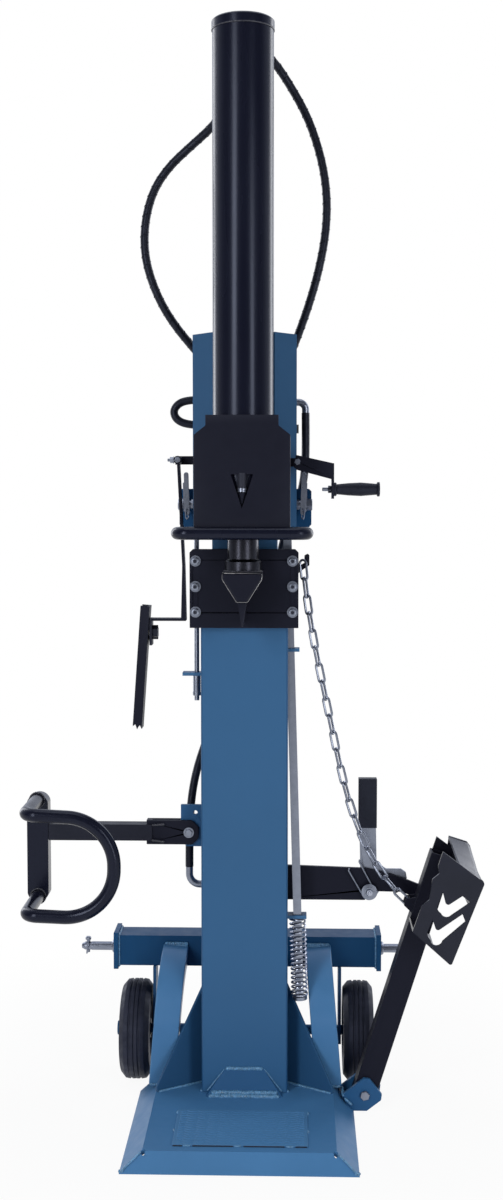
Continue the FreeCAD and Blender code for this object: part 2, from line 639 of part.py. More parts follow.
def build_guard():
    face = both_sides([("guard_neck", "guard_top"), ("guard_neck", "guard_chamfer"),
                       ("guard_half", "guard_shoulder"), ("guard_half", "guard_bottom")])
    body = new_body()
    add_pad(body, "XZ", face, "guard_thick", "-guard_front - guard_thick")
    window = [("-window_half", "window_top"), ("0", "window_tip"), ("window_half", "window_top")]
    add_pocket(body, "XZ", window, "guard_thick + 2", "-guard_front - guard_thick - 1")
    slant = "((head_cheek_front - head_horn_front) / (head_half - head_horn))"
    inner_face = "(guard_half - guard_thick)"
    flange_rear = f"(head_cheek_front - (head_half - {inner_face}) * {slant})"
    flanges = [box(f"{sign} * (guard_half - guard_thick / 2) - guard_thick / 2",
                   "guard_front + guard_thick / 2", "guard_bottom", "guard_thick",
                   f"{flange_rear} - guard_front - guard_thick / 2 - 2 * seat_gap",
                   "guard_shoulder - guard_bottom") for name, sign in SIDES]
    node("guard_plate", fuse(body, *flanges))
    half = "ring_half"
    inner = "(guard_half + seat_gap)"
    route = [point(f"-{inner}", "ring_rear", "ring_height"),
             point(f"-{half}", "ring_rear", "ring_height"),
             point(f"-{half}", "ring_front", "ring_height"),
             point(half, "ring_front", "ring_height"),
             point(half, "ring_rear", "ring_height"),
             point(inner, "ring_rear", "ring_height")]
    node("ring_bar", shaped(bent_bar(route, number("ring_radius"), number("ring_bend"))))


def bent_bar(route, radius, *bends):
    """A round bar along a route, with one bend radius for all its corners or one for each."""
    edges = []
    begin = route[0]
    if len(bends) == 1:
        bends = bends * (len(route) - 2)
    for before, corner, after, bend in zip(route, route[1:], route[2:], bends):
        inward = (before - corner).normalize()
        onward = (after - corner).normalize()
        half_turn = (math.pi - inward.getAngle(onward)) / 2
        if half_turn < 0.01:
            continue
        reach = bend * math.tan(half_turn)
        start = corner + inward * reach
        end = corner + onward * reach
        bisector = (inward + onward).normalize()
        middle = corner + bisector * (bend / math.cos(half_turn) - bend)
        edges.append(Part.LineSegment(begin, start).toShape())
        edges.append(Part.Arc(start, middle, end).toShape())
        begin = end
    edges.append(Part.LineSegment(begin, route[-1]).toShape())
    wire = Part.Wire(edges)
    ring = Part.Wire([Part.Circle(route[0], edges[0].tangentAt(0), radius).toShape()])
    return wire.makePipeShell([ring], True, False)


def build_lock_pins():
    for name, sign in SIDES:
        low = f"({sign} * (lock_outer + lock_inner) / 2 - (lock_outer - lock_inner) / 2)"
        pin = cylinder("X", low, "lock_front", "lock_height", "lock_radius",
                       "lock_outer - lock_inner")
        head_start = f"{sign} * (lock_outer - 5) - 6"
        head = cylinder("X", head_start, "lock_front", "lock_height", "lock_radius + 4", "12")
        toggle = box(f"{sign} * toggle_place - toggle_width / 2", "lock_front - lock_radius - 6",
                     "toggle_low", "toggle_width", "8", "toggle_high - toggle_low")
        node(f"lock_pin_{name}", fuse(pin, head, toggle))


# ---------------------------------------------------------------- carriage
def bolt_places():
    return [(sign, row) for name, sign in SIDES for row in range(3)]


def build_carriage():
    rear = "(plate_front + plate_thick)"
    hole_radius = "bolt_radius + pin_gap"
    holes = [cylinder("Y", f"{sign} * bolt_place", "plate_front - 1",
                      f"bolt_low + {row} * bolt_pitch", hole_radius,
                      "plate_thick + bolt_depth + 2") for sign, row in bolt_places()]
    corner = "8"
    face = both_sides([(f"plate_half - {corner}", "plate_high"),
                       ("plate_half", f"plate_high - {corner}"), ("plate_half", "plate_low")])
    node("carriage_plate", cut(slab(face, "plate_front", "plate_thick"), *holes))

    bars = []
    side = "(guide_width / 2 + 2 * seat_gap)"
    for name, sign in SIDES:
        profile = [(f"{sign} * {side}", rear), (f"{sign} * bar_outer", rear),
                   (f"{sign} * bar_outer", "clamp_rear"), (f"{sign} * clamp_inner", "clamp_rear"),
                   (f"{sign} * clamp_inner", "clamp_front"), (f"{sign} * {side}", "clamp_front")]
        bars.append(padded("XY", profile, "plate_high - plate_low - 10", "plate_low + 5"))
    drilled = [cut(bar, *[cylinder("Y", f"{sign} * bolt_place", "plate_front - 1",
                                   f"bolt_low + {row} * bolt_pitch", hole_radius,
                                   "plate_thick + bolt_depth + 2") for row in range(3)])
               for bar, (name, sign) in zip(bars, SIDES)]
    node("carriage_sleeve", group(*drilled))

    pads = []
    for name, sign in SIDES:
        middle = f"{sign} * (pad_inner + pad_outer) / 2 - (pad_outer - pad_inner) / 2"
        pads.append(box(middle, rear, "plate_low + 10", "pad_outer - pad_inner",
                        f"{GUIDE_FRONT} - {rear} - seat_gap", "plate_high - plate_low - 20"))
        inner = f"({sign} * (clamp_inner + guide_width / 2) / 2"
        start = f"{inner} - (guide_width / 2 - clamp_inner) / 2)"
        pads.append(box(start, f"{TUBE_FRONT} + seat_gap", "plate_low + 10",
                        "guide_width / 2 - clamp_inner",
                        f"clamp_front - {TUBE_FRONT} - seat_gap",
                        "plate_high - plate_low - 20"))
    node("slide_pads", group(*pads))

    bolts = []
    for sign, row in bolt_places():
        height = f"bolt_low + {row} * bolt_pitch"
        across = f"{sign} * bolt_place"
        washer = cylinder("Y", across, "plate_front - washer_thick", height, "washer_radius",
                          "washer_thick")
        head = cylinder("Y", across, "plate_front - washer_thick - bolt_head_height", height,
                        "bolt_head", "bolt_head_height + 0.5")
        shank = cylinder("Y", across, "plate_front - 1", height, "bolt_radius",
                         "plate_thick + bolt_depth")
        bolts.append(fuse(washer, head, shank))
    node("carriage_bolts", group(*bolts))


def build_knife():
    brow = both_sides([("knife_half", "knife_top"), ("knife_half", "knife_shoulder"),
                       ("knife_waist", "knife_waist_height")])
    worn = both_sides([("knife_half - knife_chamfer", "knife_top - knife_chamfer / 2"),
                       ("knife_half - knife_chamfer", "knife_shoulder + knife_chamfer / 4"),
                       ("knife_waist - knife_chamfer / 2", "knife_waist_height + knife_chamfer")])
    nose = lofted([("-knife_front", worn), ("-knife_front - knife_chamfer", brow)], "XZ")
    upper = slab(brow, "knife_front + knife_chamfer",
                 "plate_front - knife_front - knife_chamfer")
    lower = slab(both_sides([("knife_waist", "knife_waist_height + knife_waist"),
                             ("knife_edge_half", "knife_edge")]),
                 "knife_front + knife_step", "plate_front - knife_front - knife_step")
    node("knife", fuse(nose, upper, lower))
    top = "cylinder_top - cap_height - 12"
    foot = "knife_top"
    profile = [("0", foot), ("rod_collar_radius", foot),
               ("rod_collar_radius", f"{foot} + rod_collar - 6"),
               ("rod_radius", f"{foot} + rod_collar"), ("rod_radius", f"{top} - piston_height"),
               ("bore_radius - pin_gap", f"{top} - piston_height"),
               ("bore_radius - pin_gap", top), ("0", top)]
    node("piston_rod", place(revolved("XZ", profile, "V_Axis"), "0", "cylinder_axis", "0"))


def build_chain_hook():
    left = "bar_outer"
    corners = [(left, "plate_high - 62"), (f"{left} + 12", "plate_high - 52"),
               (f"{left} + 30", "plate_high - 40"), (f"{left} + 30", "plate_high - 16"),
               (f"{left} + 26", "plate_high - 12"), (f"{left} + 18", "plate_high - 16"),
               (f"{left} + 18", "plate_high - 34"), (f"{left} + 8", "plate_high - 40"),
               (left, "plate_high - 30")]
    node("chain_hook", slab(corners, "clamp_rear - 10", "8"))


# ---------------------------------------------------------------- log lifter
def lean_point(along, across):
    """A place on the lifter's arm: along it from the hinge, and square to it."""
    lean = math.radians(number("arm_lean"))
    x = number("hinge_side") + along * math.sin(lean) + across * math.cos(lean)
    z = number("hinge_height") + along * math.cos(lean) - across * math.sin(lean)
    return x, z


def build_lifter():
    ears = []
    arm_back = "(arm_front + arm_depth)"
    for start in ("arm_front - seat_gap - ear_thick", f"{arm_back} + seat_gap"):
        ear = slab([("-ear_reach", "-ear_half"), ("ear_tip - 10", "-ear_half"),
                    ("ear_tip", "-ear_half + 10"), ("ear_tip", "ear_half - 10"),
                    ("ear_tip - 10", "ear_half"), ("-ear_reach + 20", "ear_half")],
                   "0", "ear_thick")
        place(ear, "hinge_side", start, "hinge_height", V(0, 1, 0), "ear_tilt")
        ears.append(ear)
    back_plate = slab([("-ear_reach", "-ear_half"), ("-ear_reach + 10", "-ear_half"),
                       ("-ear_reach + 10", "ear_half"), ("-ear_reach", "ear_half")],
                      "0", "arm_depth + 2 * seat_gap + 2 * ear_thick")
    place(back_plate, "hinge_side", "arm_front - seat_gap - ear_thick", "hinge_height",
          V(0, 1, 0), "ear_tilt")
    trim = box("hinge_side - ear_reach - 60", "arm_front - 60", "-200", "400", "300",
               "200 + seat_gap")
    bore = cylinder("Y", "hinge_side", "arm_front - 30", "hinge_height",
                    "hinge_radius + pin_gap", "arm_depth + 60")
    node("lifter_bracket", cut(fuse(*ears, back_plate), trim, bore, HULLS["base"]))

    body = padded("XZ", [("-arm_width / 2", "-26"), ("-14", "-arm_width / 2"),
                         ("14", "-arm_width / 2"), ("arm_width / 2", "-26"),
                         ("arm_width / 2", "arm_length"), ("-arm_width / 2", "arm_length")],
                  "arm_depth", f"-{arm_back}")
    add_pocket(body, "XZ", [("-arm_width / 2 + arm_wall", "arm_width * 0.8"),
                            ("arm_width / 2 - arm_wall", "arm_width * 0.8"),
                            ("arm_width / 2 - arm_wall", "arm_length + 1"),
                            ("-arm_width / 2 + arm_wall", "arm_length + 1")],
               "arm_depth - 2 * arm_wall", f"arm_wall - {arm_back}")
    place(body, "hinge_side", "0", "hinge_height", V(0, 1, 0), "arm_lean")
    arm_bore = cylinder("Y", "hinge_side", "arm_front - 5", "hinge_height",
                        "hinge_radius + pin_gap", "arm_depth + 10")
    across = "(-arm_width / 2 - chain_pin_reach)"
    ears = []
    for sign in (-1, 1):
        start = f"(chain_plane + {sign} * (link_width / 2 + 2 + chain_ear / 2) - chain_ear / 2)"
        ear = padded("XZ", [(f"{across} - chain_pin * 2", "chain_pin_along - chain_pin * 2"),
                            ("-arm_width / 2 + 1", "chain_pin_along - chain_pin * 5"),
                            ("-arm_width / 2 + 1", "chain_pin_along + chain_pin * 5"),
                            (f"{across} - chain_pin * 2", "chain_pin_along + chain_pin * 2")],
                     "chain_ear", f"-{start} - chain_ear")
        place(ear, "hinge_side", "0", "hinge_height", V(0, 1, 0), "arm_lean")
        ears.append(ear)
    reach = "(link_width / 2 + 2 + chain_ear)"
    pin = cylinder("Y", f"hinge_side + chain_pin_along * sin(arm_lean) + {across} * cos(arm_lean)",
                   f"chain_plane - {reach}",
                   f"hinge_height + chain_pin_along * cos(arm_lean) - {across} * sin(arm_lean)",
                   "chain_pin", f"2 * {reach}")
    node("lifter_arm", cut(fuse(body, *ears, pin), arm_bore))


def on_arm(*spots):
    """Outline corners given from the top right corner of the lifter's arm."""
    return [(f"arm_width / 2 + ({across})", f"arm_length + ({along})")
            for across, along in spots]


def build_cradle():
    """A toothed front plate with two pointed windows, folded back to grip a log."""
    face = on_arm((-49.5, 30.7), (52.4, -4.8), (66.1, -14.3), (53, -216), (46.5, -219.5),
                  (-59, -172), (-57, -106.6), (-44.7, -87.6), (-53, -38.9), (-41.8, -21.3),
                  (-50.1, -5.3))
    windows = [on_arm((-21.3, -58.9), (-6.4, -83.1), (4.1, -82.7), (25.9, -55.4),
                      (48.6, -63.7), (15.3, -107.3), (-8.4, -110.2), (-22.8, -96.1)),
               on_arm((-23.6, -129.3), (-9.9, -148.3), (-0.6, -148.4), (39.3, -96.4),
                      (51.2, -111.3), (14.6, -171.7), (-12.6, -177.4), (-25.6, -161.3))]
    corners = {1: ("12", 1), 3: ("5", 1)}
    rounds = {1: ("7", -1), 5: ("14", 1), 6: ("20", 1)}
    front = "(-cradle_front - cradle_thick)"
    body = new_body()
    add_pad(body, "XZ", list(reversed(face)), "cradle_thick", front,
            {8: ("12", -1), 6: ("5", -1)})
    for window in windows:
        add_pocket(body, "XZ", window, "cradle_thick + 2", f"{front} - 1", rounds)
    arm_back = "(arm_front + arm_depth + seat_gap)"
    rear = slab(on_arm((-49.5, 30.7), (-18, 20), (-21.5, 41.3), (24.8, 41.4), (35.3, 33.6),
                       (66.1, -14.3), (61.5, -85), (30, -60), (-53, -38.9), (-41.8, -21.3),
                       (-50.1, -5.3)), arm_back, "cradle_thick")
    depth = f"({arm_back} + cradle_thick - cradle_front)"
    web = slab(on_arm((66.1, -14.3), (61.5, -85), (55.5, -84.6), (60.1, -12)),
               "cradle_front", depth)
    hood = lofted([("-cradle_front", on_arm((-3.8, 14.7), (45, -2.2), (52.4, -4.8),
                                            (50.8, -9.5), (-5.4, 10))),
                   (f"-{arm_back} - cradle_thick", on_arm((-21.5, 41.3), (24.8, 41.4),
                                                          (35.3, 33.6), (31.5, 30),
                                                          (-21.5, 36.3)))], "XZ")
    foot = slab(on_arm((-59, -172), (-0.5, -198.4), (1.5, -193), (-59, -165.7)),
                "cradle_front", "arm_front - cradle_front - seat_gap")
    turned = [place(thing, "hinge_side", "0", "hinge_height", V(0, 1, 0), "arm_lean")
              for thing in (body, rear, web, hood, foot)]
    node("lifter_cradle", fuse(*turned))


def build_pivot_bolts():
    bolts = []

    def bolt(across, height, front, grip, radius):
        shank = cylinder("Y", across, front, height, radius, grip)
        head = cylinder("Y", across, f"{front} - 7", height, f"{radius} * 1.7", "7")
        nut = cylinder("Y", across, f"{front} + {grip}", height, f"{radius} * 1.7", "8")
        return fuse(shank, head, nut)

    ear_front = "(arm_front - 2 * seat_gap - ear_thick)"
    bolts.append(bolt("hinge_side", "hinge_height", ear_front,
                      "(arm_depth + 4 * seat_gap + 2 * ear_thick)", "hinge_radius"))
    bolts.append(bolt("latch_pivot_side", "latch_pivot_height", "(latch_front - 16)",
                      "(16 + latch_thick + lever_thick + 2 * seat_gap)", "pivot_radius"))
    fork_front = "(holder_plane - tongue_thick / 2 - 2 * seat_gap - fork_thick)"
    bolts.append(bolt("holder_pivot_side", "holder_pivot_height", fork_front,
                      "(tongue_thick + 4 * seat_gap + 2 * fork_thick)", "pivot_radius"))
    node("pivot_bolts", group(*bolts))


# ---------------------------------------------------------------- lifting chain
def link(wire, pitch, width):
    """One long link of round wire, lying in the XZ plane and centred on the origin."""
    bend = (width - wire) / 2
    straight = (pitch + wire) / 2 - bend
    top = Part.Arc(V(bend, 0, straight), V(0, 0, straight + bend), V(-bend, 0, straight))
    low = Part.Arc(V(-bend, 0, -straight), V(0, 0, -straight - bend), V(bend, 0, -straight))
    sides = [Part.LineSegment(V(bend, 0, -straight), V(bend, 0, straight)),
             Part.LineSegment(V(-bend, 0, straight), V(-bend, 0, -straight))]
    path = Part.Wire([sides[0].toShape(), top.toShape(), sides[1].toShape(), low.toShape()])
    corners = [V(bend, 0, 0) + V(math.cos(turn), math.sin(turn), 0) * wire / 2
               for turn in (math.pi * step / 3 for step in range(6))]
    ring = Part.makePolygon(corners + corners[:1])
    ring.translate(V(0, 0, -straight))
    return path.makePipeShell([ring], True, False)


def build_chain():
    """Links hung on a slack curve from the carriage's hook to the lifter's arm."""
    plane = number("chain_plane")
    low_x, low_z = lean_point(number("chain_pin_along"), number("-arm_width / 2 - chain_pin_reach"))
    top_x = number("bar_outer") + 14
    top_z = number("plate_high") - 30
    fall = top_z - low_z
    span = low_x - top_x
    knots = [V(top_x, plane, top_z), V(top_x + 0.10 * span, plane, top_z - 0.22 * fall),
             V(top_x + 0.26 * span, plane, top_z - 0.46 * fall),
             V(top_x + 0.46 * span, plane, top_z - 0.72 * fall),
             V(top_x + 0.72 * span, plane, top_z - 0.90 * fall), V(low_x, plane, low_z)]
    hang = (knots[-1] - knots[-2]).normalize()
    knots[-1] += hang * number("chain_pin + pin_gap")
    curve = Part.BSplineCurve()
    curve.interpolate(knots)
    edge = curve.toShape()
    count = round(edge.Length / number("link_pitch"))
    ends = edge.discretize(Number=count + 1)
    links = []
    for index, (begin, end) in enumerate(zip(ends, ends[1:])):
        chord = end - begin
        shape = link(number("chain_wire"), chord.Length, number("link_width"))
        from_pin = count - 1 - index
        twist = FreeCAD.Rotation(V(0, 0, 1), 90 * (from_pin % 2) + 25 * min(from_pin / 3, 1))
        shape.Placement = FreeCAD.Placement((begin + end) * 0.5,
                                            FreeCAD.Rotation(V(0, 0, 1), chord).multiply(twist))
        links.append(shape)
    print(f"chain: {count} links over {edge.Length:.0f}")
    node("lifting_chain", shaped(Part.makeCompound(links)))


# ---------------------------------------------------------------- transport latch
def build_latch():
    def near_pivot(*spots):
        return [(f"latch_pivot_side + ({across})", f"latch_pivot_height + ({up})")
                for across, up in spots]

    arm = slab([("tube_width / 2", "latch_pivot_height - 23.6")]
               + near_pivot((-10.8, -23.6), (-2.8, -15.6), (23.2, -1.6), (80.2, -2.6),
                            (140.2, -26.6), (141.2, 9.4), (95.2, 27.4), (42.2, 44.4),
                            (-14.8, 56.4))
               + [("tube_width / 2", "latch_pivot_height + 63.4")],
               "latch_front", "latch_thick")
    bore = cylinder("Y", "latch_pivot_side", "latch_front - 1", "latch_pivot_height",
                    "pivot_radius + pin_gap", "latch_thick + lever_thick + 4")
    node("latch_arm", cut(arm, bore))
    side = "latch_pivot_side"
    lever = slab([(f"{side} - lever_half - 4", "lever_top")]
                 + near_pivot(("-lever_half - 4", 118.4), ("-lever_half", -21.6), (14, -21.6),
                              (40, 18.4), (67.2, 31.4), (79.2, 23.4), (94.2, 28.4),
                              (91.2, 44.4), (79.2, 52.4), (42.2, 52.4), ("lever_half", 68.4))
                 + [(f"{side} + lever_half - 4", "lever_top")],
                 "latch_front + latch_thick + seat_gap", "lever_thick")
    lever_bore = cylinder("Y", side, "latch_front + latch_thick - 1", "latch_pivot_height",
                          "pivot_radius + pin_gap", "lever_thick + 4")
    node("latch_lever", cut(lever, lever_bore))
    middle = "(latch_front + latch_thick + seat_gap + lever_thick / 2)"
    sleeve = box(f"{side} - 4 - latch_grip_half", f"{middle} - latch_grip_depth / 2",
                 "latch_grip_low", "2 * latch_grip_half", "latch_grip_depth",
                 "latch_grip_high - latch_grip_low")
    slot = box(f"{side} - lever_half - 5", f"{middle} - lever_thick / 2 - 0.05",
               "latch_grip_low - 1", "2 * lever_half + 6", "lever_thick + 0.1",
               "lever_top - latch_grip_low + 1.1")
    node("latch_grip", cut(sleeve, slot))
    coil = cylinder("Y", side, "latch_front - 12", "latch_pivot_height", "16", "11.7")
    disc = cylinder("Y", side, "latch_front - 15", "latch_pivot_height", "spring_disc", "2.7")
    hole = cylinder("Y", side, "latch_front - 17", "latch_pivot_height",
                    "pivot_radius + pin_gap", "20")
    legs = []
    for across, height in ((-60, 64), (-30, 88)):
        start = V(number(side) - 14, number("latch_front") - 4, number("latch_pivot_height"))
        reach = V(across + 14, 0, height)
        legs.append(shaped(Part.makeCylinder(2, reach.Length, start, reach)))
    node("latch_spring", cut(fuse(coil, disc, *legs), hole))


# ---------------------------------------------------------------- log holder
def build_holder():
    plane = "holder_plane"
    pivot = "holder_pivot_side"
    height = "holder_pivot_height"
    tongue = slab([("-tube_width / 2", f"{height} - 36"), (f"{pivot} - 6", f"{height} - 36"),
                   (f"{pivot} - 20", f"{height} - 21"), (f"{pivot} - 20", f"{height} + 67"),
                   ("-tube_width / 2", f"{height} + 67")],
                  f"{plane} - tongue_thick / 2", "tongue_thick")
    bores = [cylinder("Y", pivot, f"{plane} - 30", height, "pivot_radius + pin_gap", "60"),
             cylinder("Y", f"{pivot} + 16", f"{plane} - 30", f"{height} + 48",
                      "holder_stop_hole", "60")]
    node("holder_bracket", cut(tongue, *bores))
    gap = "(tongue_thick / 2 + seat_gap)"
    cheeks = []
    for front in (f"{plane} - {gap} - fork_thick", f"{plane} + {gap}"):
        cheeks.append(slab([("fork_end - 14", f"{height} - fork_half"),
                            (f"{pivot} + 8", f"{height} - fork_half"),
                            (f"{pivot} + 24", f"{height} - 14"),
                            (f"{pivot} + 24", f"{height} + 14"),
                            (f"{pivot} + 8", f"{height} + fork_half"),
                            ("fork_end - 14", f"{height} + fork_half")], front, "fork_thick"))
    arm = box("holder_arm_end", f"{plane} - holder_arm_half", f"{height} - holder_arm_half",
              "fork_end - holder_arm_end", "2 * holder_arm_half", "2 * holder_arm_half")
    wall = box("fork_end - 14", f"{plane} - {gap} - fork_thick", f"{height} - fork_half", "14",
               f"2 * {gap} + 2 * fork_thick", "2 * fork_half")
    bore = cylinder("Y", pivot, f"{plane} - 30", height, "pivot_radius + pin_gap", "60")
    node("holder_arm", cut(fuse(arm, wall, *cheeks), bore))
    round_end = ("holder_plate_wide * 0.51", -1)
    plate = slab([("holder_plate_end", "holder_plate_low + holder_plate_wide * 0.4"),
                  ("holder_arm_end", "holder_plate_low + holder_plate_wide * 0.4"),
                  ("holder_arm_end", "holder_plate_high - holder_plate_wide * 0.4"),
                  ("holder_plate_end", "holder_plate_high - holder_plate_wide * 0.4")],
                 f"{plane} - holder_arm_half", "2 * holder_arm_half",
                 {0: round_end, 2: round_end})
    left = "(holder_plate_end + holder_arm_end) / 2"
    front = "holder_loop_front"
    high = "holder_plate_high - holder_loop_inset"
    low = "holder_plate_low + holder_loop_inset"
    nose = f"{left} + holder_loop_nose"
    route = [point(left, plane, high), point(left, front, high),
             point(nose, front, f"{high} - 10"), point(nose, front, f"{low} - 8"),
             point(left, front, low), point(left, plane, low)]
    half_round = number(f"0.48 * ({high} - ({low}))")
    corner = number("holder_loop_corner")
    loop = shaped(bent_bar(route, number("holder_tube"),
                           corner, half_round, half_round, corner))
    node("holder_loop", fuse(plate, loop))


# ---------------------------------------------------------------- hand controls
def lever_stud(pivot, height, plane, depth):
    """A shoulder stud along Y with a washer that keeps a lever's boss on it."""
    front = f"({plane} - {depth} / 2)"
    back = f"({plane} + {depth} / 2 + seat_gap)"
    stud = cylinder("Y", pivot, f"{front} - seat_gap - 1", height, "stud_radius",
                    f"mount_front + stud_plate / 2 - {front} + seat_gap + 1")
    washer = cylinder("Y", pivot, f"{front} - seat_gap - stud_cap", height, "boss_radius",
                      "stud_cap")
    spacer = cylinder("Y", pivot, back, height, "boss_radius - 1", f"mount_front + 1 - {back}")
    return fuse(stud, washer, spacer)


def build_lever_mounts():
    """Two arms on the head that carry the hand levers' studs."""
    mounts = []
    slant = "((head_half - head_horn) / (head_cheek_front - head_horn_front))"
    meets = f"(head_half - (head_cheek_front - mount_front) * {slant} + 2 * seat_gap)"
    rear = "(mount_front + stud_plate)"
    meets_rear = f"(head_half - (head_cheek_front - {rear}) * {slant} + 2 * seat_gap)"
    for sign, pivot, height, plane, depth in (
            (-1, "left_pivot_side", "control_height", "left_plane", "strip_depth"),
            (1, "right_pivot_side", "right_height", "right_plane", "boss_depth")):
        outer = f"({pivot} + {sign} * boss_radius)"
        arm = padded("XY", [(f"{sign} * {meets}", "mount_front"),
                            (f"{sign} * {meets_rear}", rear), (outer, rear),
                            (outer, "mount_front")], "2 * stud_plate", f"{height} - stud_plate")
        mounts.append(fuse(arm, lever_stud(pivot, height, plane, depth)))
    node("lever_mounts", group(*mounts))


def build_left_control():
    front = "(left_plane - strip_depth / 2)"
    pivot = "left_pivot_side"
    elbow = "(left_pivot_side + strip_lean)"
    strip = slab([(f"{pivot} - strip_thick / 2", "control_height"),
                  (f"{pivot} + strip_thick / 2", "control_height"),
                  (f"{elbow} + strip_thick", "left_foot + strip_drop"),
                  (f"{elbow} + strip_thick + 3", "left_foot"), ("foot_outer", "left_foot"),
                  ("foot_outer", "left_foot + strip_thick"),
                  (f"{elbow} - 3", "left_foot + strip_thick"),
                  (elbow, "left_foot + strip_drop")], front, "strip_depth")
    tab = box("foot_outer", "left_plane - tab_half", "left_foot - tab_length", "strip_thick",
              "2 * tab_half", "tab_length + strip_thick")
    boss = cylinder("Y", pivot, front, "control_height", "boss_radius", "strip_depth")
    bore = cylinder("Y", pivot, f"{front} - 1", "control_height", "stud_radius + pin_gap",
                    "strip_depth + 2")
    knob_hole = cylinder("X", "foot_outer - 1", "left_plane", "knob_height",
                         "knob_stud + pin_gap", "strip_thick + 2")
    node("left_lever", cut(fuse(strip, tab, boss), bore, knob_hole))

    half = "claw_width / 2"
    low = "(claw_low - claw_high)"
    blade = padded("XY", [(f"-({half})", "-claw_depth"), (half, "-claw_depth"),
                          (half, "claw_depth"), (f"-({half})", "claw_depth"),
                          (f"-({half})", "claw_depth - claw_wall"),
                          (f"{half} - claw_wall", "claw_depth - claw_wall"),
                          (f"{half} - claw_wall", "claw_wall - claw_depth"),
                          (f"-({half})", "claw_wall - claw_depth")],
                   "claw_high - claw_low", low)
    notch = slab([(f"-({half}) - 1", f"{low} - 1"), (f"{half} + 1", f"{low} - 1"),
                  (f"{half} + 1", f"{low} + 4"), ("claw_wall", f"{low} + claw_notch"),
                  ("0", f"{low} + 4"), ("-claw_wall", f"{low} + claw_notch"),
                  (f"-({half}) - 1", f"{low} + 10")], "-claw_depth - 1", "2 * claw_depth + 2")
    turned = cut(blade, notch)
    across = f"(foot_outer - seat_gap - claw_offset)"
    place(turned, across, "left_plane", "claw_high", V(0, 1, 0), "claw_lean")
    bolts = [cylinder("X", f"{across} - claw_wall", f"left_plane + {side} * claw_bolt_side",
                      height, "claw_bolt", "claw_offset + claw_wall")
             for side, height in ((-1, "left_foot - 18"), (1, "left_foot - 42"))]
    node("left_claw", fuse(turned, *bolts))

    lobes = 6
    outer = []
    for step in range(2 * lobes):
        radius = "knob_radius" if step % 2 else "knob_radius * 0.74"
        turn = 180 / lobes * step
        outer.append((f"{radius} * {math.cos(math.radians(turn)):.5f}",
                      f"{radius} * {math.sin(math.radians(turn)):.5f}"))
    knob = padded("YZ", outer, "knob_thick")
    place(knob, "foot_outer + strip_thick + seat_gap", "left_plane", "knob_height")
    stud = cylinder("X", "foot_outer + seat_gap", "left_plane", "knob_height", "knob_stud",
                    "strip_thick + knob_thick")
    node("star_knob", fuse(knob, stud))


def build_right_control():
    front = "(right_plane - boss_depth / 2)"
    end = "(right_reach - strip_thick)"
    pivot = "right_pivot_side"
    fall = "right_fall"
    half = "right_bar / 2"
    bar = slab([(f"{pivot} - 4", f"right_height + {half} - 2"),
                (f"{pivot} - 8", f"right_height - {half} + 6"),
                (f"{pivot} - 2", f"right_height - {half}"),
                (end, f"right_height - {fall} - {half}"),
                (end, "grip_height - right_bar * 0.6"),
                ("right_reach", "grip_height - right_bar * 0.6"),
                ("right_reach", f"right_height - {fall} + {half}")],
               front, "boss_depth")
    hollow = box(f"{pivot} - 40", f"{front} + strip_thick", "grip_height - 2 * right_bar",
                 f"{end} - {pivot} + 40", "boss_depth", "8 * right_bar")
    boss = cylinder("Y", pivot, front, "right_height", "boss_radius", "boss_depth")
    bore = cylinder("Y", pivot, f"{front} - 1", "right_height", "stud_radius + pin_gap",
                    "boss_depth + 2")
    stud_hole = cylinder("X", f"{end} - 1", "right_plane", "grip_height",
                         "grip_stud + pin_gap", "strip_thick + 2")
    node("right_lever", cut(fuse(cut(bar, hollow), boss), bore, stud_hole))
    grip = "grip_radius"
    thread = f"({end} - grip_nut)"
    profile = [(f"{thread} - grip_nut", "0"), (f"{thread} - grip_nut", "grip_stud - 1"),
               (thread, "grip_stud - 1"), (thread, "grip_stud * 1.7"),
               (f"{end} - seat_gap", "grip_stud * 1.7"), (f"{end} - seat_gap", "grip_stud"),
               ("right_reach + seat_gap", "grip_stud"), ("right_reach + seat_gap", grip),
               ("grip_start", grip),
               ("grip_start + 2", f"{grip} - 4"), ("grip_start + 28", f"{grip} - 1.5"),
               ("grip_start + 58", f"{grip}"), ("grip_start + grip_length - 8", f"{grip} - 3"),
               ("grip_start + grip_length - 6", f"{grip} + 1"),
               ("grip_start + grip_length - 1", f"{grip} + 1"),
               ("grip_start + grip_length", f"{grip} - 2"), ("grip_start + grip_length", "0")]
    node("right_grip", place(revolved("XZ", profile, "H_Axis"), "0", "right_plane",
                             "grip_height"))


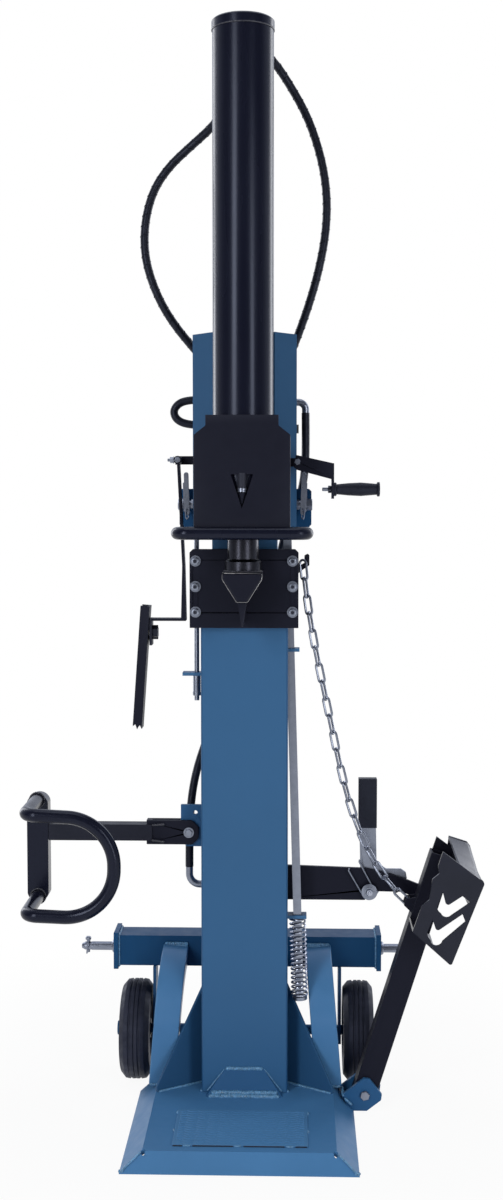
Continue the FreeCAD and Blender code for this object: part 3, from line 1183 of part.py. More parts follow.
# ---------------------------------------------------------------- control rods
def build_rods():
    half = "rod_side / 2"
    slope = "((rod_low_place - rod_top_place) / (rod_top - rod_low))"
    lean = f"-atan({slope})"
    rod = padded("XY", rectangle(f"-{half}", half, f"-{half}", half), "rod_top - rod_low",
                 "rod_low - rod_top")
    foot = revolved("XZ", rectangle("0", "spring_radius - 3", "rod_low - rod_top",
                                    "rod_low + spring_nut - rod_top"), "V_Axis")
    node("control_rod", place(fuse(rod, foot), "rod_top_place", "rod_plane", "rod_top",
                              V(0, 1, 0), lean))
    inner = "(rod_side * 0.75)"
    spring = revolved("XZ", rectangle(inner, "spring_radius",
                                      "rod_low + spring_nut + seat_gap - rod_top",
                                      "rod_guide_low - 4 * seat_gap - rod_top"), "V_Axis")
    place(spring, "rod_top_place", "rod_plane", "rod_top", V(0, 1, 0), lean)
    node("control_spring", spring)
    tail = "(thin_plate - thin_tail)"
    thin = cylinder("Z", "thin_place", "rod_plane", tail, "thin_rod", f"thin_top - {tail}")
    collar = cylinder("Z", "thin_place", "rod_plane", f"{tail} + thin_seat - thin_collar",
                      "thin_rod + 4", "thin_collar")
    coil = cylinder("Z", "thin_place", "rod_plane", f"{tail} + thin_seat", "thin_rod + 3",
                    "thin_tail - thin_seat - seat_gap")
    node("return_rod", fuse(thin, collar, coil))
    guides = []
    for height in ("rod_guide_high", "rod_guide_low"):
        centre = f"(rod_top_place + (rod_top - {height}) * {slope})"
        plate = box("tube_width / 2", "clamp_rear + 2", height,
                    f"{centre} + 22 - tube_width / 2", "rod_plane + 20 - clamp_rear - 2", "8")
        opening = box(f"{centre} - {half} - 1.2", f"rod_plane - {half} - 0.5", f"{height} - 2",
                      "rod_side + 2.4", "rod_side + 1", "12")
        guides.append(cut(plate, opening))
    left_plate = box("thin_place - 34", "clamp_rear + 2", "thin_plate",
                     "-tube_width / 2 - thin_place + 34", "rod_plane + 20 - clamp_rear - 2",
                     "8")
    left_hole = cylinder("Z", "thin_place", "rod_plane", "thin_plate - 1",
                         "thin_rod + pin_gap", "10")
    guides.append(cut(left_plate, left_hole))
    node("rod_guides", group(*guides))


# ---------------------------------------------------------------- rear drive and valve
def build_rear():
    rear = "tube_depth / 2"
    corner = "gearbox_corner"
    shell = slab(both_sides([(f"gearbox_half - {corner}", "gearbox_high"),
                             ("gearbox_half", f"gearbox_high - {corner}"),
                             ("gearbox_half", f"gearbox_low + {corner}"),
                             (f"gearbox_half - {corner}", "gearbox_low")]), rear,
                 "gearbox_depth")
    flanges = [slab(both_sides([(f"gearbox_half - {corner} + 6", "gearbox_high + 6"),
                                ("gearbox_half + 6", f"gearbox_high - {corner} + 6"),
                                ("gearbox_half + 6", f"gearbox_low + {corner} - 6"),
                                (f"gearbox_half - {corner} + 6", "gearbox_low - 6")]), start,
                    "gearbox_flange") for start in
               (rear, f"{rear} + gearbox_depth / 2 - gearbox_flange / 2")]
    ribs = [box(f"{sign} * gearbox_half * 0.55 - 4", f"{rear} + 4", "gearbox_high - 8", "8",
                "gearbox_depth - 16", "14") for name, sign in SIDES]
    boss = cylinder("Y", "0", f"{rear} + gearbox_depth", "pto_height", "boss_round", "18")
    studs = [cylinder("Y", f"{sign} * (gearbox_half - 12)", f"{rear} + gearbox_depth - 2",
                      f"gearbox_low + {corner} + {row} * (gearbox_tall - 2 * {corner}) / 3", "7",
                      "8") for name, sign in SIDES for row in range(4)]
    bore = cylinder("Y", "0", f"{rear} + gearbox_depth - 40", "pto_height",
                    "pto_radius + pin_gap", "60")
    node("gearbox", cut(fuse(shell, boss, *flanges, *ribs, *studs), bore))
    node("pto_shaft", cylinder("Y", "0", f"{rear} + gearbox_depth - 39.7", "pto_height",
                               "pto_radius", "57.7 + pto_length"))
    def pump_block(grow, start, length):
        half = f"(pump_half + {grow})"
        return slab(both_sides([(f"{half} - 14", f"pump_height + {half}"),
                                (half, f"pump_height + {half} - 14"),
                                (half, f"pump_height - {half} + 14"),
                                (f"{half} - 14", f"pump_height - {half}")]),
                    f"{rear} + gearbox_depth + {start}", length)

    port = cylinder("X", "-pump_half - 16", f"{rear} + gearbox_depth + pump_depth * 0.5",
                    "pump_height", "17", "20")
    node("pump", fuse(pump_block("0", "0", "pump_depth"), pump_block("5", "8", "12"),
                      pump_block("3", "pump_depth * 0.72", "9"), port))
    ears = []
    for name, sign in SIDES:
        inner = f"({sign} * (top_link_gap + top_link_ear) / 2)"
        ear = padded("YZ", [(rear, "top_link_height - top_link_half - 10"),
                            (f"{rear} + top_link_reach - 10",
                             "top_link_height - top_link_half + 6"),
                            (f"{rear} + top_link_reach + 10", "top_link_height"),
                            (f"{rear} + top_link_reach - 10",
                             "top_link_height + top_link_half - 6"),
                            (rear, "top_link_height + top_link_half + 10")],
                     "top_link_ear", f"{inner} - top_link_ear / 2")
        ears.append(ear)
    bore = cylinder("X", "-60", f"{rear} + top_link_reach - 18", "top_link_height",
                    "top_link_radius", "120")
    foot = box("-top_link_gap / 2 - top_link_ear - 10", rear,
               "top_link_height - top_link_half - 14", "top_link_gap + 2 * top_link_ear + 20",
               "8", "2 * top_link_half + 28")
    node("top_link_bracket", cut(fuse(foot, *ears), bore))
    block = box("-valve_half", rear, "valve_low", "2 * valve_half", "valve_depth",
                "valve_tall")
    middle = f"{rear} + valve_depth / 2"
    spools = [cylinder("Z", across, middle, "valve_low - 34", "15", "36")
              for across in ("0", "valve_half * 0.5")]
    relief = cylinder("X", "valve_half - 1", middle, "valve_low + 22", "11", "22")
    seams = [box("-valve_half - 1", f"{rear} + valve_depth - 2", f"valve_low + {part} * valve_tall",
                 "2 * valve_half + 2", "3", "3") for part in ("0.3", "0.66")]
    node("valve_block", cut(fuse(block, *spools, relief), *seams))


# ---------------------------------------------------------------- hoses
HOSES = {
    "hose_left": [(-26, -75, 2400), (-50, -58, 2395), (-84, -18, 2367), (-130, 2, 2333),
                  (-184, 14, 2288), (-223, 20, 2234), (-243, 20, 2166), (-247, 20, 2097),
                  (-236, 21, 2035), (-209, 26, 1966), (-174, 38, 1910), (-134, 56, 1862),
                  (-104, 84, 1828), (-94, 112, 1806), (-94, 112, 1772.3)],
    "hose_right": [(26, -75, 2534), (48, -58, 2531), (75, -22, 2514), (106, 2, 2474),
                   (144, 15, 2412), (171, 20, 2344), (190, 20, 2269), (197, 20, 2194),
                   (192, 21, 2116), (175, 26, 2032), (152, 38, 1955), (125, 56, 1882),
                   (103, 84, 1832), (94, 112, 1806), (94, 112, 1772.3)],
}


def build_hoses():
    radius = number("hose_radius")
    for name, route in HOSES.items():
        node(name, shaped(tube_along([V(*spot) for spot in route], radius, name)))
    port = -number("valve_half")
    depth = number("tube_depth / 2 + valve_depth / 2")
    side = number("elbow_reach")
    loop = [V(port, depth, 1735), V(port - 30, depth, 1735), V(port - 62, depth, 1728),
            V(port - 78, depth, 1706), V(port - 66, depth, 1682), V(port - 32, depth, 1672),
            V(port, depth, 1672)]
    feed = [V(side, depth, 1701.7), V(side + 1, depth, 1630), V(side - 1, depth, 1550),
            V(side - 16, depth, 1480), V(side - 44, depth, 1420), V(side - 66, depth, 1340),
            V(side - 74, depth, 1240), V(side - 76, depth, 1060), V(side - 77, depth, 900),
            V(side - 86, depth + 20, 820), V(side - 104, depth + 76, 780),
            V(side - 114, 236, 752), V(side - 114, 236, 705.6)]
    returns = [V(-64, depth, 1639.4), V(-66, depth, 1500), V(-63, depth, 1320),
               V(-64, depth, 1140), V(-70, depth - 2, 1000), V(-84, depth - 10, 930),
               V(-104, 86, 876), V(-122, 66, 822), V(-134, 50, 766), V(-140, 42, 706),
               V(-142, 41, 640), V(-142, 41, 570.4)]
    tubes = [tube_along(loop, radius, "loop"), tube_along(feed, radius, "feed"),
             tube_along(returns, radius, "returns")]
    node("hose_set", shaped(Part.makeCompound(tubes)))
    elbow = number("hose_radius") * 0.9
    turn = bent_bar([V(-port, depth, 1728), V(side, depth, 1728), V(side, depth, 1702)],
                    elbow, 18)
    low_turn = bent_bar([V(-142, 41, 570), V(-142, 41, 526),
                         V(number("-tube_width / 2"), 41, 526)], elbow, 26)
    unions = []
    for name, route in HOSES.items():
        port = V(0, number(TROUGH), route[0][2])
        union = cylinder("Y", "0", TROUGH, str(port.z), "union_radius", "union_length")
        start = V(*route[0])
        inward = (start - V(*route[1])).normalize()
        ferrule = shaped(Part.makeCylinder(number("ferrule_radius"), number("ferrule_length"),
                                           start + inward * number("seat_gap"), inward))
        unions.append(fuse(union, ferrule))
        end = route[-1]
        unions.append(cylinder("Z", str(end[0]), str(end[1]), "valve_high + seat_gap",
                               "ferrule_radius", "valve_stub"))
    node("hose_fittings", group(*unions, shaped(turn), shaped(low_turn)))


for step in (build_base, build_column, build_gussets, build_legs, build_crossbar, build_wheels,
             build_head, build_cylinder, build_guard, build_lock_pins, build_carriage,
             build_knife, build_chain_hook, build_lifter, build_cradle, build_pivot_bolts,
             build_chain, build_latch, build_holder, build_lever_mounts,
             build_left_control, build_right_control,
             build_rods, build_rear, build_hoses):
    step()
    doc.recompute()

# ---------------------------------------------------------------- checks and export
for thing in doc.Objects:
    if "Invalid" in thing.State or "Error" in thing.State:
        raise RuntimeError(f"{thing.Label} ({thing.TypeId}) failed: {thing.State}")
os.makedirs("parts", exist_ok=True)
for thing in NODES:
    if thing.Shape.isNull() or not thing.Shape.isValid():
        raise RuntimeError(f"{thing.Label} has no valid shape")
    thing.Shape.exportStep(f"parts/{thing.Label}.step")
print(len(NODES), "nodes")
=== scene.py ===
"""Looks for the vertical log splitter: materials, hoses, chain, springs, welds and trim.

Lengths are in metres, but places given to spot(), profiles and the tables of places for hoses
and welds are in millimetres.
"""

import json
import math
import random

import bpy
import numpy as np
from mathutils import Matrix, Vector


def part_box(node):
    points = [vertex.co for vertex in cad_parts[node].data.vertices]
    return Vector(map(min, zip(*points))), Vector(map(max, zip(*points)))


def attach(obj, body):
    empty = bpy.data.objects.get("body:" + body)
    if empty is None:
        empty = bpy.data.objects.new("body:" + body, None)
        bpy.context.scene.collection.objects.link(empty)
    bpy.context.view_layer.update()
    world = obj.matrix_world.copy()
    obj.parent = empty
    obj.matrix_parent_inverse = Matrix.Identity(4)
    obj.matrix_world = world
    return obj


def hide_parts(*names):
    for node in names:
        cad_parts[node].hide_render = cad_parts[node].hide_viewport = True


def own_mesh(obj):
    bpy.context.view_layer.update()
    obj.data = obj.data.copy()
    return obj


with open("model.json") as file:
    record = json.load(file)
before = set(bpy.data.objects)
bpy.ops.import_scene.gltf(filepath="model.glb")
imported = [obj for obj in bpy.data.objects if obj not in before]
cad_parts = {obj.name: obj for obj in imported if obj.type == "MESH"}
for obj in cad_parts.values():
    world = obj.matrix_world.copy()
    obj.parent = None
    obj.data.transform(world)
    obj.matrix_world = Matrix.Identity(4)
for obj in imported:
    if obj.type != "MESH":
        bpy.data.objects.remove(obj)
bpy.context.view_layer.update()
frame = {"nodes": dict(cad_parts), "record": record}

MM = 0.001
SCENE = bpy.context.scene
WHITE = (1, 1, 1, 1)


class Nodes:
    """A node tree with short calls to add and join its nodes."""

    def __init__(self, tree):
        self.tree = tree

    def add(self, kind, inputs=None, **settings):
        node = self.tree.nodes.new("ShaderNode" + kind)
        for name, value in settings.items():
            setattr(node, name, value)
        for name, value in (inputs or {}).items():
            node.inputs[name].default_value = value
        return node

    def link(self, start, end):
        self.tree.links.new(start, end)

    def maths(self, operation, first, second):
        node = self.add("Math", operation=operation)
        self.link(first, node.inputs[0])
        self.link(second, node.inputs[1])
        return node.outputs[0]

    def mapped(self, value, start, end, low, high, **settings):
        """The value, with start to end turned into low to high."""
        node = self.add("MapRange", {"From Min": start, "From Max": end,
                                     "To Min": low, "To Max": high}, **settings)
        self.link(value, node.inputs["Value"])
        return node.outputs["Result"]

    def mixed(self, share, first, second):
        node = self.add("MixShader")
        for index, output in enumerate((share, first, second)):
            self.link(output, node.inputs[index])
        return node.outputs[0]


# ---------------------------------------------------------------- camera and light
CAMERA_PLACE = (0.123, -3.655, 1.480)
PITCH_DOWN = 0.0652
TURN_LEFT = 0.0297
SENSOR_HEIGHT = 36
LENS = 45

# place, height aimed at, width and height, watts
LAMPS = {
    "key": ((-2.4, -4.2, 2.3), 1.1, (1.2, 3.2), 92),
    "fill": ((2.8, -4.0, 1.7), 0.9, (1.2, 3.0), 62),
    "top": ((0.0, -0.4, 5.0), 0.5, (2.6, 2.0), 26),
    "rim_left": ((-2.6, 2.4, 2.2), 1.2, (1.2, 3.2), 40),
    "rim_right": ((2.6, 2.4, 2.2), 1.2, (1.2, 3.2), 40),
}

AMBIENT = {"Color": (0.93, 0.95, 1.0, 1), "Strength": 0.24}
MIRRORED_TINT = (0.82, 0.87, 1.0, 1)
ROOM_FRONT_LEVEL = 0.16
FLOOR_COLOUR = (0.86, 0.87, 0.89, 1)
FLOOR_FADE_START, FLOOR_FADE_END = 0.5, 1.5
FLOOR_GLOW_NEAR, FLOOR_GLOW_FAR = 0.93, 1.0


def add_camera():
    data = bpy.data.cameras.new("camera")
    data.sensor_fit = "VERTICAL"
    data.sensor_height = SENSOR_HEIGHT
    data.lens = LENS
    camera = bpy.data.objects.new("camera", data)
    SCENE.collection.objects.link(camera)
    camera.location = CAMERA_PLACE
    camera.rotation_euler = (math.pi / 2 - PITCH_DOWN, 0, TURN_LEFT)
    SCENE.camera = camera


def add_lamp(name, place, aim_height, size, watts):
    data = bpy.data.lights.new(name, "AREA")
    data.shape = "RECTANGLE"
    data.size, data.size_y = size
    data.energy = watts
    lamp = bpy.data.objects.new(name, data)
    SCENE.collection.objects.link(lamp)
    lamp.location = place
    aim = Vector((0, 0, aim_height)) - Vector(place)
    lamp.rotation_euler = aim.to_track_quat("-Z", "Y").to_euler()


def add_world():
    """White to the camera, dim as light; reflections find it dark in front, white behind."""
    world = bpy.data.worlds.new("studio")
    SCENE.world = world
    world.use_nodes = True
    nodes = Nodes(world.node_tree)
    nodes.tree.nodes.clear()
    rays = nodes.add("LightPath")
    camera_ray = rays.outputs["Is Camera Ray"]
    seen = nodes.maths("MAXIMUM", camera_ray, rays.outputs["Is Glossy Ray"])
    ambient = nodes.add("Background", AMBIENT)
    tint = nodes.add("Mix", {"A": MIRRORED_TINT, "B": WHITE}, data_type="RGBA")
    nodes.link(camera_ray, tint.inputs["Factor"])
    way = nodes.add("SeparateXYZ")
    nodes.link(nodes.add("TexCoord").outputs["Generated"], way.inputs[0])
    level = nodes.mapped(way.outputs["Y"], -0.35, 0.45, ROOM_FRONT_LEVEL, 1)
    room = nodes.add("Background")
    nodes.link(tint.outputs["Result"], room.inputs["Color"])
    nodes.link(nodes.maths("MAXIMUM", camera_ray, level), room.inputs["Strength"])
    out = nodes.add("OutputWorld")
    nodes.link(nodes.mixed(seen, ambient.outputs[0], room.outputs[0]), out.inputs["Surface"])


def add_floor():
    """A pale floor that fades into the white backdrop away from the machine."""
    bpy.ops.mesh.primitive_plane_add(size=30, location=(0, 0, -0.5 * MM))
    floor = bpy.context.object
    floor.name = "floor"
    material = bpy.data.materials.new("floor")
    material.use_nodes = True
    nodes = Nodes(material.node_tree)
    nodes.tree.nodes.clear()
    pale = nodes.add("BsdfDiffuse", {"Color": FLOOR_COLOUR})
    glow = nodes.add("Emission", {"Color": WHITE})
    rays = nodes.add("LightPath")
    seen = nodes.maths("MAXIMUM", rays.outputs["Is Camera Ray"], rays.outputs["Is Glossy Ray"])
    reach = nodes.add("VectorMath", operation="LENGTH")
    nodes.link(nodes.add("TexCoord").outputs["Object"], reach.inputs[0])
    fade = nodes.mapped(reach.outputs["Value"], FLOOR_FADE_START, FLOOR_FADE_END,
                        FLOOR_GLOW_NEAR, FLOOR_GLOW_FAR, interpolation_type="SMOOTHSTEP")
    share = nodes.maths("MULTIPLY", seen, fade)
    out = nodes.add("OutputMaterial")
    nodes.link(nodes.mixed(share, pale.outputs[0], glow.outputs[0]), out.inputs["Surface"])
    floor.data.materials.append(material)


SCENE.view_settings.view_transform = "Standard"
add_camera()
for lamp_name, lamp_values in LAMPS.items():
    add_lamp(lamp_name, *lamp_values)
add_world()
add_floor()


# ---------------------------------------------------------------- materials
COOL_SHEEN = (0.66, 0.74, 1.0, 1)
NOISE_LOW, NOISE_HIGH = 0.3, 0.7
EDGE_START, EDGE_END = 0.53, 0.60


class Shader(Nodes):
    """A principled material, built up with short calls."""

    def __init__(self, name, colour, rough, metal=0.0):
        self.material = bpy.data.materials.new(name)
        self.material.use_nodes = True
        super().__init__(self.material.node_tree)
        self.main = self.tree.nodes["Principled BSDF"]
        self.set({"Base Color": (*colour, 1), "Roughness": rough, "Metallic": metal})
        self.place = self.add("TexCoord").outputs["Object"]
        self.normal = None

    def set(self, values):
        for name, value in values.items():
            self.main.inputs[name].default_value = value

    def noise(self, scale, detail=3.0, rough=0.5, stretch=None):
        place = self.place
        if stretch:
            mapping = self.add("Mapping", {"Scale": stretch})
            self.link(place, mapping.inputs["Vector"])
            place = mapping.outputs["Vector"]
        node = self.add("TexNoise", {"Scale": scale, "Detail": detail, "Roughness": rough})
        self.link(place, node.inputs["Vector"])
        return node.outputs["Fac"]

    def ramp(self, value, low, high, start=NOISE_LOW, end=NOISE_HIGH):
        """From one colour to another as the value goes from start to end."""
        node = self.add("ValToRGB")
        for step, where, tone in zip(node.color_ramp.elements, (start, end), (low, high)):
            step.position = where
            step.color = (*tone, 1)
        self.link(value, node.inputs["Fac"])
        return node.outputs["Color"]

    def tone(self, value, low, high):
        self.link(self.ramp(value, low, high), self.main.inputs["Base Color"])

    def gloss(self, value, low, high):
        self.link(self.ramp(value, (low,) * 3, (high,) * 3), self.main.inputs["Roughness"])

    def bump(self, height, strength, distance):
        node = self.add("Bump", {"Strength": strength, "Distance": distance})
        self.link(height, node.inputs["Height"])
        if self.normal is not None:
            self.link(self.normal, node.inputs["Normal"])
        self.normal = node.outputs["Normal"]
        self.link(self.normal, self.main.inputs["Normal"])

    def sheen(self, level, coat=0.0, coat_rough=0.0):
        self.set({"Specular IOR Level": level, "Specular Tint": COOL_SHEEN})
        if coat:
            self.set({"Coat Weight": coat, "Coat Roughness": coat_rough})

    def mottled_with_edge_highlight(self, colour, highlight_tone, amount):
        """Paint that varies a little at random, with a painted highlight along its edges."""
        base = self.ramp(self.noise(2.2, 4, 0.6), scaled(colour, 0.94), scaled(colour, 1.06))
        pointiness = self.add("NewGeometry").outputs["Pointiness"]
        # painted highlight: the sharp edges are made paler, as if they caught the light
        edges = self.ramp(pointiness, (0, 0, 0), (amount,) * 3, EDGE_START, EDGE_END)
        mix = self.add("Mix", {"B": (*highlight_tone, 1)}, data_type="RGBA")
        self.link(edges, mix.inputs["Factor"])
        self.link(base, mix.inputs["A"])
        self.link(mix.outputs["Result"], self.main.inputs["Base Color"])


def scaled(colour, factor):
    return tuple(min(channel * factor, 1) for channel in colour)


def powder_coat(name, colour, rough, edge, peel=0.12, shine=0.3):
    shader = Shader(name, colour, rough)
    # edge is the colour of the painted highlight along the edges
    shader.mottled_with_edge_highlight(colour, edge, 0.35)
    shader.gloss(shader.noise(35, 3), rough - 0.04, rough + 0.06)
    shader.bump(shader.noise(900, 2), peel, 0.0003)
    shader.bump(shader.noise(9, 3), 0.08, 0.0015)
    shader.sheen(shine)
    return shader.material


def gloss_paint(name, colour, rough):
    shader = Shader(name, colour, rough)
    # edges 3.5 times paler: a painted highlight
    shader.mottled_with_edge_highlight(colour, scaled(colour, 3.5), 0.3)
    shader.gloss(shader.noise(16, 4, stretch=(1, 1, 0.15)), rough - 0.05, rough + 0.08)
    shader.bump(shader.noise(420, 2), 0.07, 0.0003)
    shader.sheen(0.25, 0.04, 0.12)
    return shader.material


def bare_metal(name, colour, rough, stretch):
    """Metal with one grain in its colour, roughness and relief."""
    shader = Shader(name, colour, rough, 1.0)
    grain = shader.noise(120, 3, 0.6, stretch)
    shader.tone(grain, scaled(colour, 0.85), scaled(colour, 1.12))
    shader.gloss(grain, rough - 0.07, rough + 0.1)
    shader.bump(grain, 0.06, 0.0002)
    return shader.material


def speckled(name, colour, rough, tones, gloss, relief, metal=0.0, sheen=None):
    """A surface with its own noise in each of its colour, roughness and relief.

    tones is (noise, darkest, palest) as factors of the colour, gloss is (noise, less, more)
    added to rough, and relief is (noise, strength, depth).
    """
    shader = Shader(name, colour, rough, metal)
    noise, darkest, palest = tones
    shader.tone(shader.noise(*noise), scaled(colour, darkest), scaled(colour, palest))
    if gloss:
        noise, less, more = gloss
        shader.gloss(shader.noise(*noise), rough + less, rough + more)
    noise, strength, depth = relief
    shader.bump(shader.noise(*noise), strength, depth)
    if sheen:
        shader.sheen(*sheen)
    return shader.material


def zinc_plate(name, colour, rough):
    return speckled(name, colour, rough, ((60, 4, 0.6), 0.90, 1.07),
                    ((240, 3), -0.03, 0.05), ((700, 2), 0.10, 0.0002), metal=0.9)


def weld_paint(name, colour):
    """Paint over a weld bead, glossier than the plate beside it and given a paler colour, a
    painted highlight.
    """
    return speckled(name, colour, 0.28, ((180, 3), 0.7, 1.35), None,
                    ((420, 3), 0.3, 0.0006))


BLUE = (0.019, 0.092, 0.221)
# a paler copy of the blue paint, painted light, for the nodes of the blue_base slot and the legs
LIT_BLUE = (0.062, 0.195, 0.400)
# the colour of the painted highlight along the edges of the blue paints
EDGE_HIGHLIGHT_BLUE = (0.12, 0.27, 0.45)
BLACK = (0.0078, 0.0080, 0.0150)

MATERIALS = {
    "blue_paint": powder_coat("blue_paint", BLUE, 0.42, EDGE_HIGHLIGHT_BLUE),
    # blue_base: the same blue paint made paler, painted light
    "blue_base": powder_coat("blue_base", LIT_BLUE, 0.45, EDGE_HIGHLIGHT_BLUE),
    # its grey edge tone is a painted highlight
    "black_paint": powder_coat("black_paint", BLACK, 0.44, (0.07, 0.075, 0.095), shine=0.17),
    "black_gloss": gloss_paint("black_gloss", (0.0055, 0.0063, 0.0150), 0.24),
    "zinc": zinc_plate("zinc", (0.24, 0.265, 0.33), 0.30),
    "machined_steel": bare_metal("machined_steel", (0.42, 0.42, 0.43), 0.32, (1, 8, 1)),
    "chrome_rod": bare_metal("chrome_rod", (0.030, 0.031, 0.040), 0.30, (6, 6, 1)),
    "slide_bronze": bare_metal("slide_bronze", (0.36, 0.25, 0.10), 0.42, (1, 1, 6)),
    "pump_aluminium": bare_metal("pump_aluminium", (0.36, 0.37, 0.39), 0.45, (2, 2, 2)),
    "tyre_rubber": speckled(
        "tyre_rubber", (0.0115, 0.0125, 0.021), 0.62, ((24, 4, 0.6), 0.7, 1.7),
        ((60, 3), -0.10, 0.10), ((500, 3), 0.25, 0.0004), sheen=(0.5,)),
    "black_plastic": speckled(
        "black_plastic", (0.0085, 0.0092, 0.0150), 0.46, ((40, 3), 0.85, 1.2),
        ((90, 2), -0.05, 0.07), ((1400, 2), 0.14, 0.0002), sheen=(0.3,)),
    "hose_rubber": speckled(
        "hose_rubber", (0.0065, 0.007, 0.0115), 0.45, ((50, 3), 0.8, 1.5),
        ((80, 2), -0.11, 0.07), ((800, 2), 0.15, 0.0002), sheen=(0.3,)),
    "cast_housing": speckled(
        "cast_housing", (0.035, 0.037, 0.042), 0.55, ((30, 5, 0.65), 0.75, 1.4),
        ((120, 3), -0.10, 0.10), ((330, 4, 0.6), 0.35, 0.0006)),
}
SPRING_WIRE = zinc_plate("spring_wire", (0.40, 0.43, 0.52), 0.24)
# paler than the paint beside them: a painted highlight on the beads
BLUE_BEAD = weld_paint("blue_bead_highlight", (0.10, 0.25, 0.43))
BLACK_BEAD = weld_paint("black_bead_highlight", (0.030, 0.032, 0.045))
# the legs: the paler copy of the blue, painted light, with more sheen
LIT_LEG_PAINT = powder_coat("lit_leg_paint", LIT_BLUE, 0.34, EDGE_HIGHLIGHT_BLUE, 0.5, 0.5)

# darker copies of the blue paint, painted shade, for nodes that share a slot; the legs' paler
# blue, painted light; and a glossier black for the cradle
TONES = {
    "crossbar": powder_coat("crossbar_shaded_paint", (0.009, 0.064, 0.165), 0.40, BLUE, shine=0.15),
    "side_gussets": powder_coat("gusset_shaded_paint", (0.010, 0.060, 0.155), 0.42, EDGE_HIGHLIGHT_BLUE,
                                shine=0.18),
    "head": powder_coat("head_shaded_paint", (0.010, 0.062, 0.160), 0.38, EDGE_HIGHLIGHT_BLUE, shine=0.15),
    "lifter_cradle": speckled(
        "cradle_paint", BLACK, 0.32, ((14, 4), 0.55, 0.95), ((30, 3), -0.04, 0.08),
        ((700, 2), 0.06, 0.0002), sheen=(0.35, 0.15, 0.25)),
    "leg_left": LIT_LEG_PAINT,
    "leg_right": LIT_LEG_PAINT,
}
SLOT_OF = {part["node"]: part["material_slot"] for part in frame["record"]["subparts"]}

# bevel widths in millimetres
SOFT_EDGES = {"base_plate": 3.2, "cylinder_tube": 0.5, "guide_plate": 1.6, "crossbar": 2.5,
              "leg_left": 3.5, "leg_right": 3.5, "lifter_arm": 2.2, "holder_arm": 2.4}
SOFT_EDGE = 0.9
WELD_REACH = 0.02 * MM
EDGE_ANGLE = math.radians(35)


def finish_node(name):
    """Give a CAD node its material and softly rounded edges."""
    thing = frame["nodes"][name]
    thing.data.materials.clear()
    thing.data.materials.append(TONES.get(name) or MATERIALS[SLOT_OF[name]])
    weld = thing.modifiers.new("weld", "WELD")
    weld.merge_threshold = WELD_REACH
    bevel = thing.modifiers.new("edges", "BEVEL")
    bevel.width = SOFT_EDGES.get(name, SOFT_EDGE) * MM
    bevel.segments = 2
    bevel.limit_method = "ANGLE"
    bevel.angle_limit = EDGE_ANGLE
    normals = thing.modifiers.new("normals", "WEIGHTED_NORMAL")
    normals.mode = "FACE_AREA"
    normals.weight = 50
    normals.keep_sharp = False


for node_name in frame["nodes"]:
    finish_node(node_name)


# ---------------------------------------------------------------- shapes
UP = Vector((0, 0, 1))


def spot(x, y, z):
    """A place given in millimetres."""
    return Vector((x, y, z)) * MM


def turned_to(axis):
    return Vector(axis).normalized().to_track_quat("Z", "Y").to_matrix()


def unit_circle(steps, spin=0.0, closed=False):
    """Cosines and sines round a circle, with the first repeated at the end if closed."""
    turns = [2 * math.pi * step / steps + spin for step in range(steps + closed)]
    return [(math.cos(turn), math.sin(turn)) for turn in turns]


def round_ended(start, end, across, radius, steps=8):
    """An outline at one radius round the line from start to end, in the plane of across."""
    along = (end - start).normalized()
    outline = []
    for centre, sign in ((end, 1), (start, -1)):
        for step in range(steps + 1):
            turn = math.pi * step / steps
            outline.append(centre + (across * math.cos(turn) + along * math.sin(turn))
                           * radius * sign)
    return outline


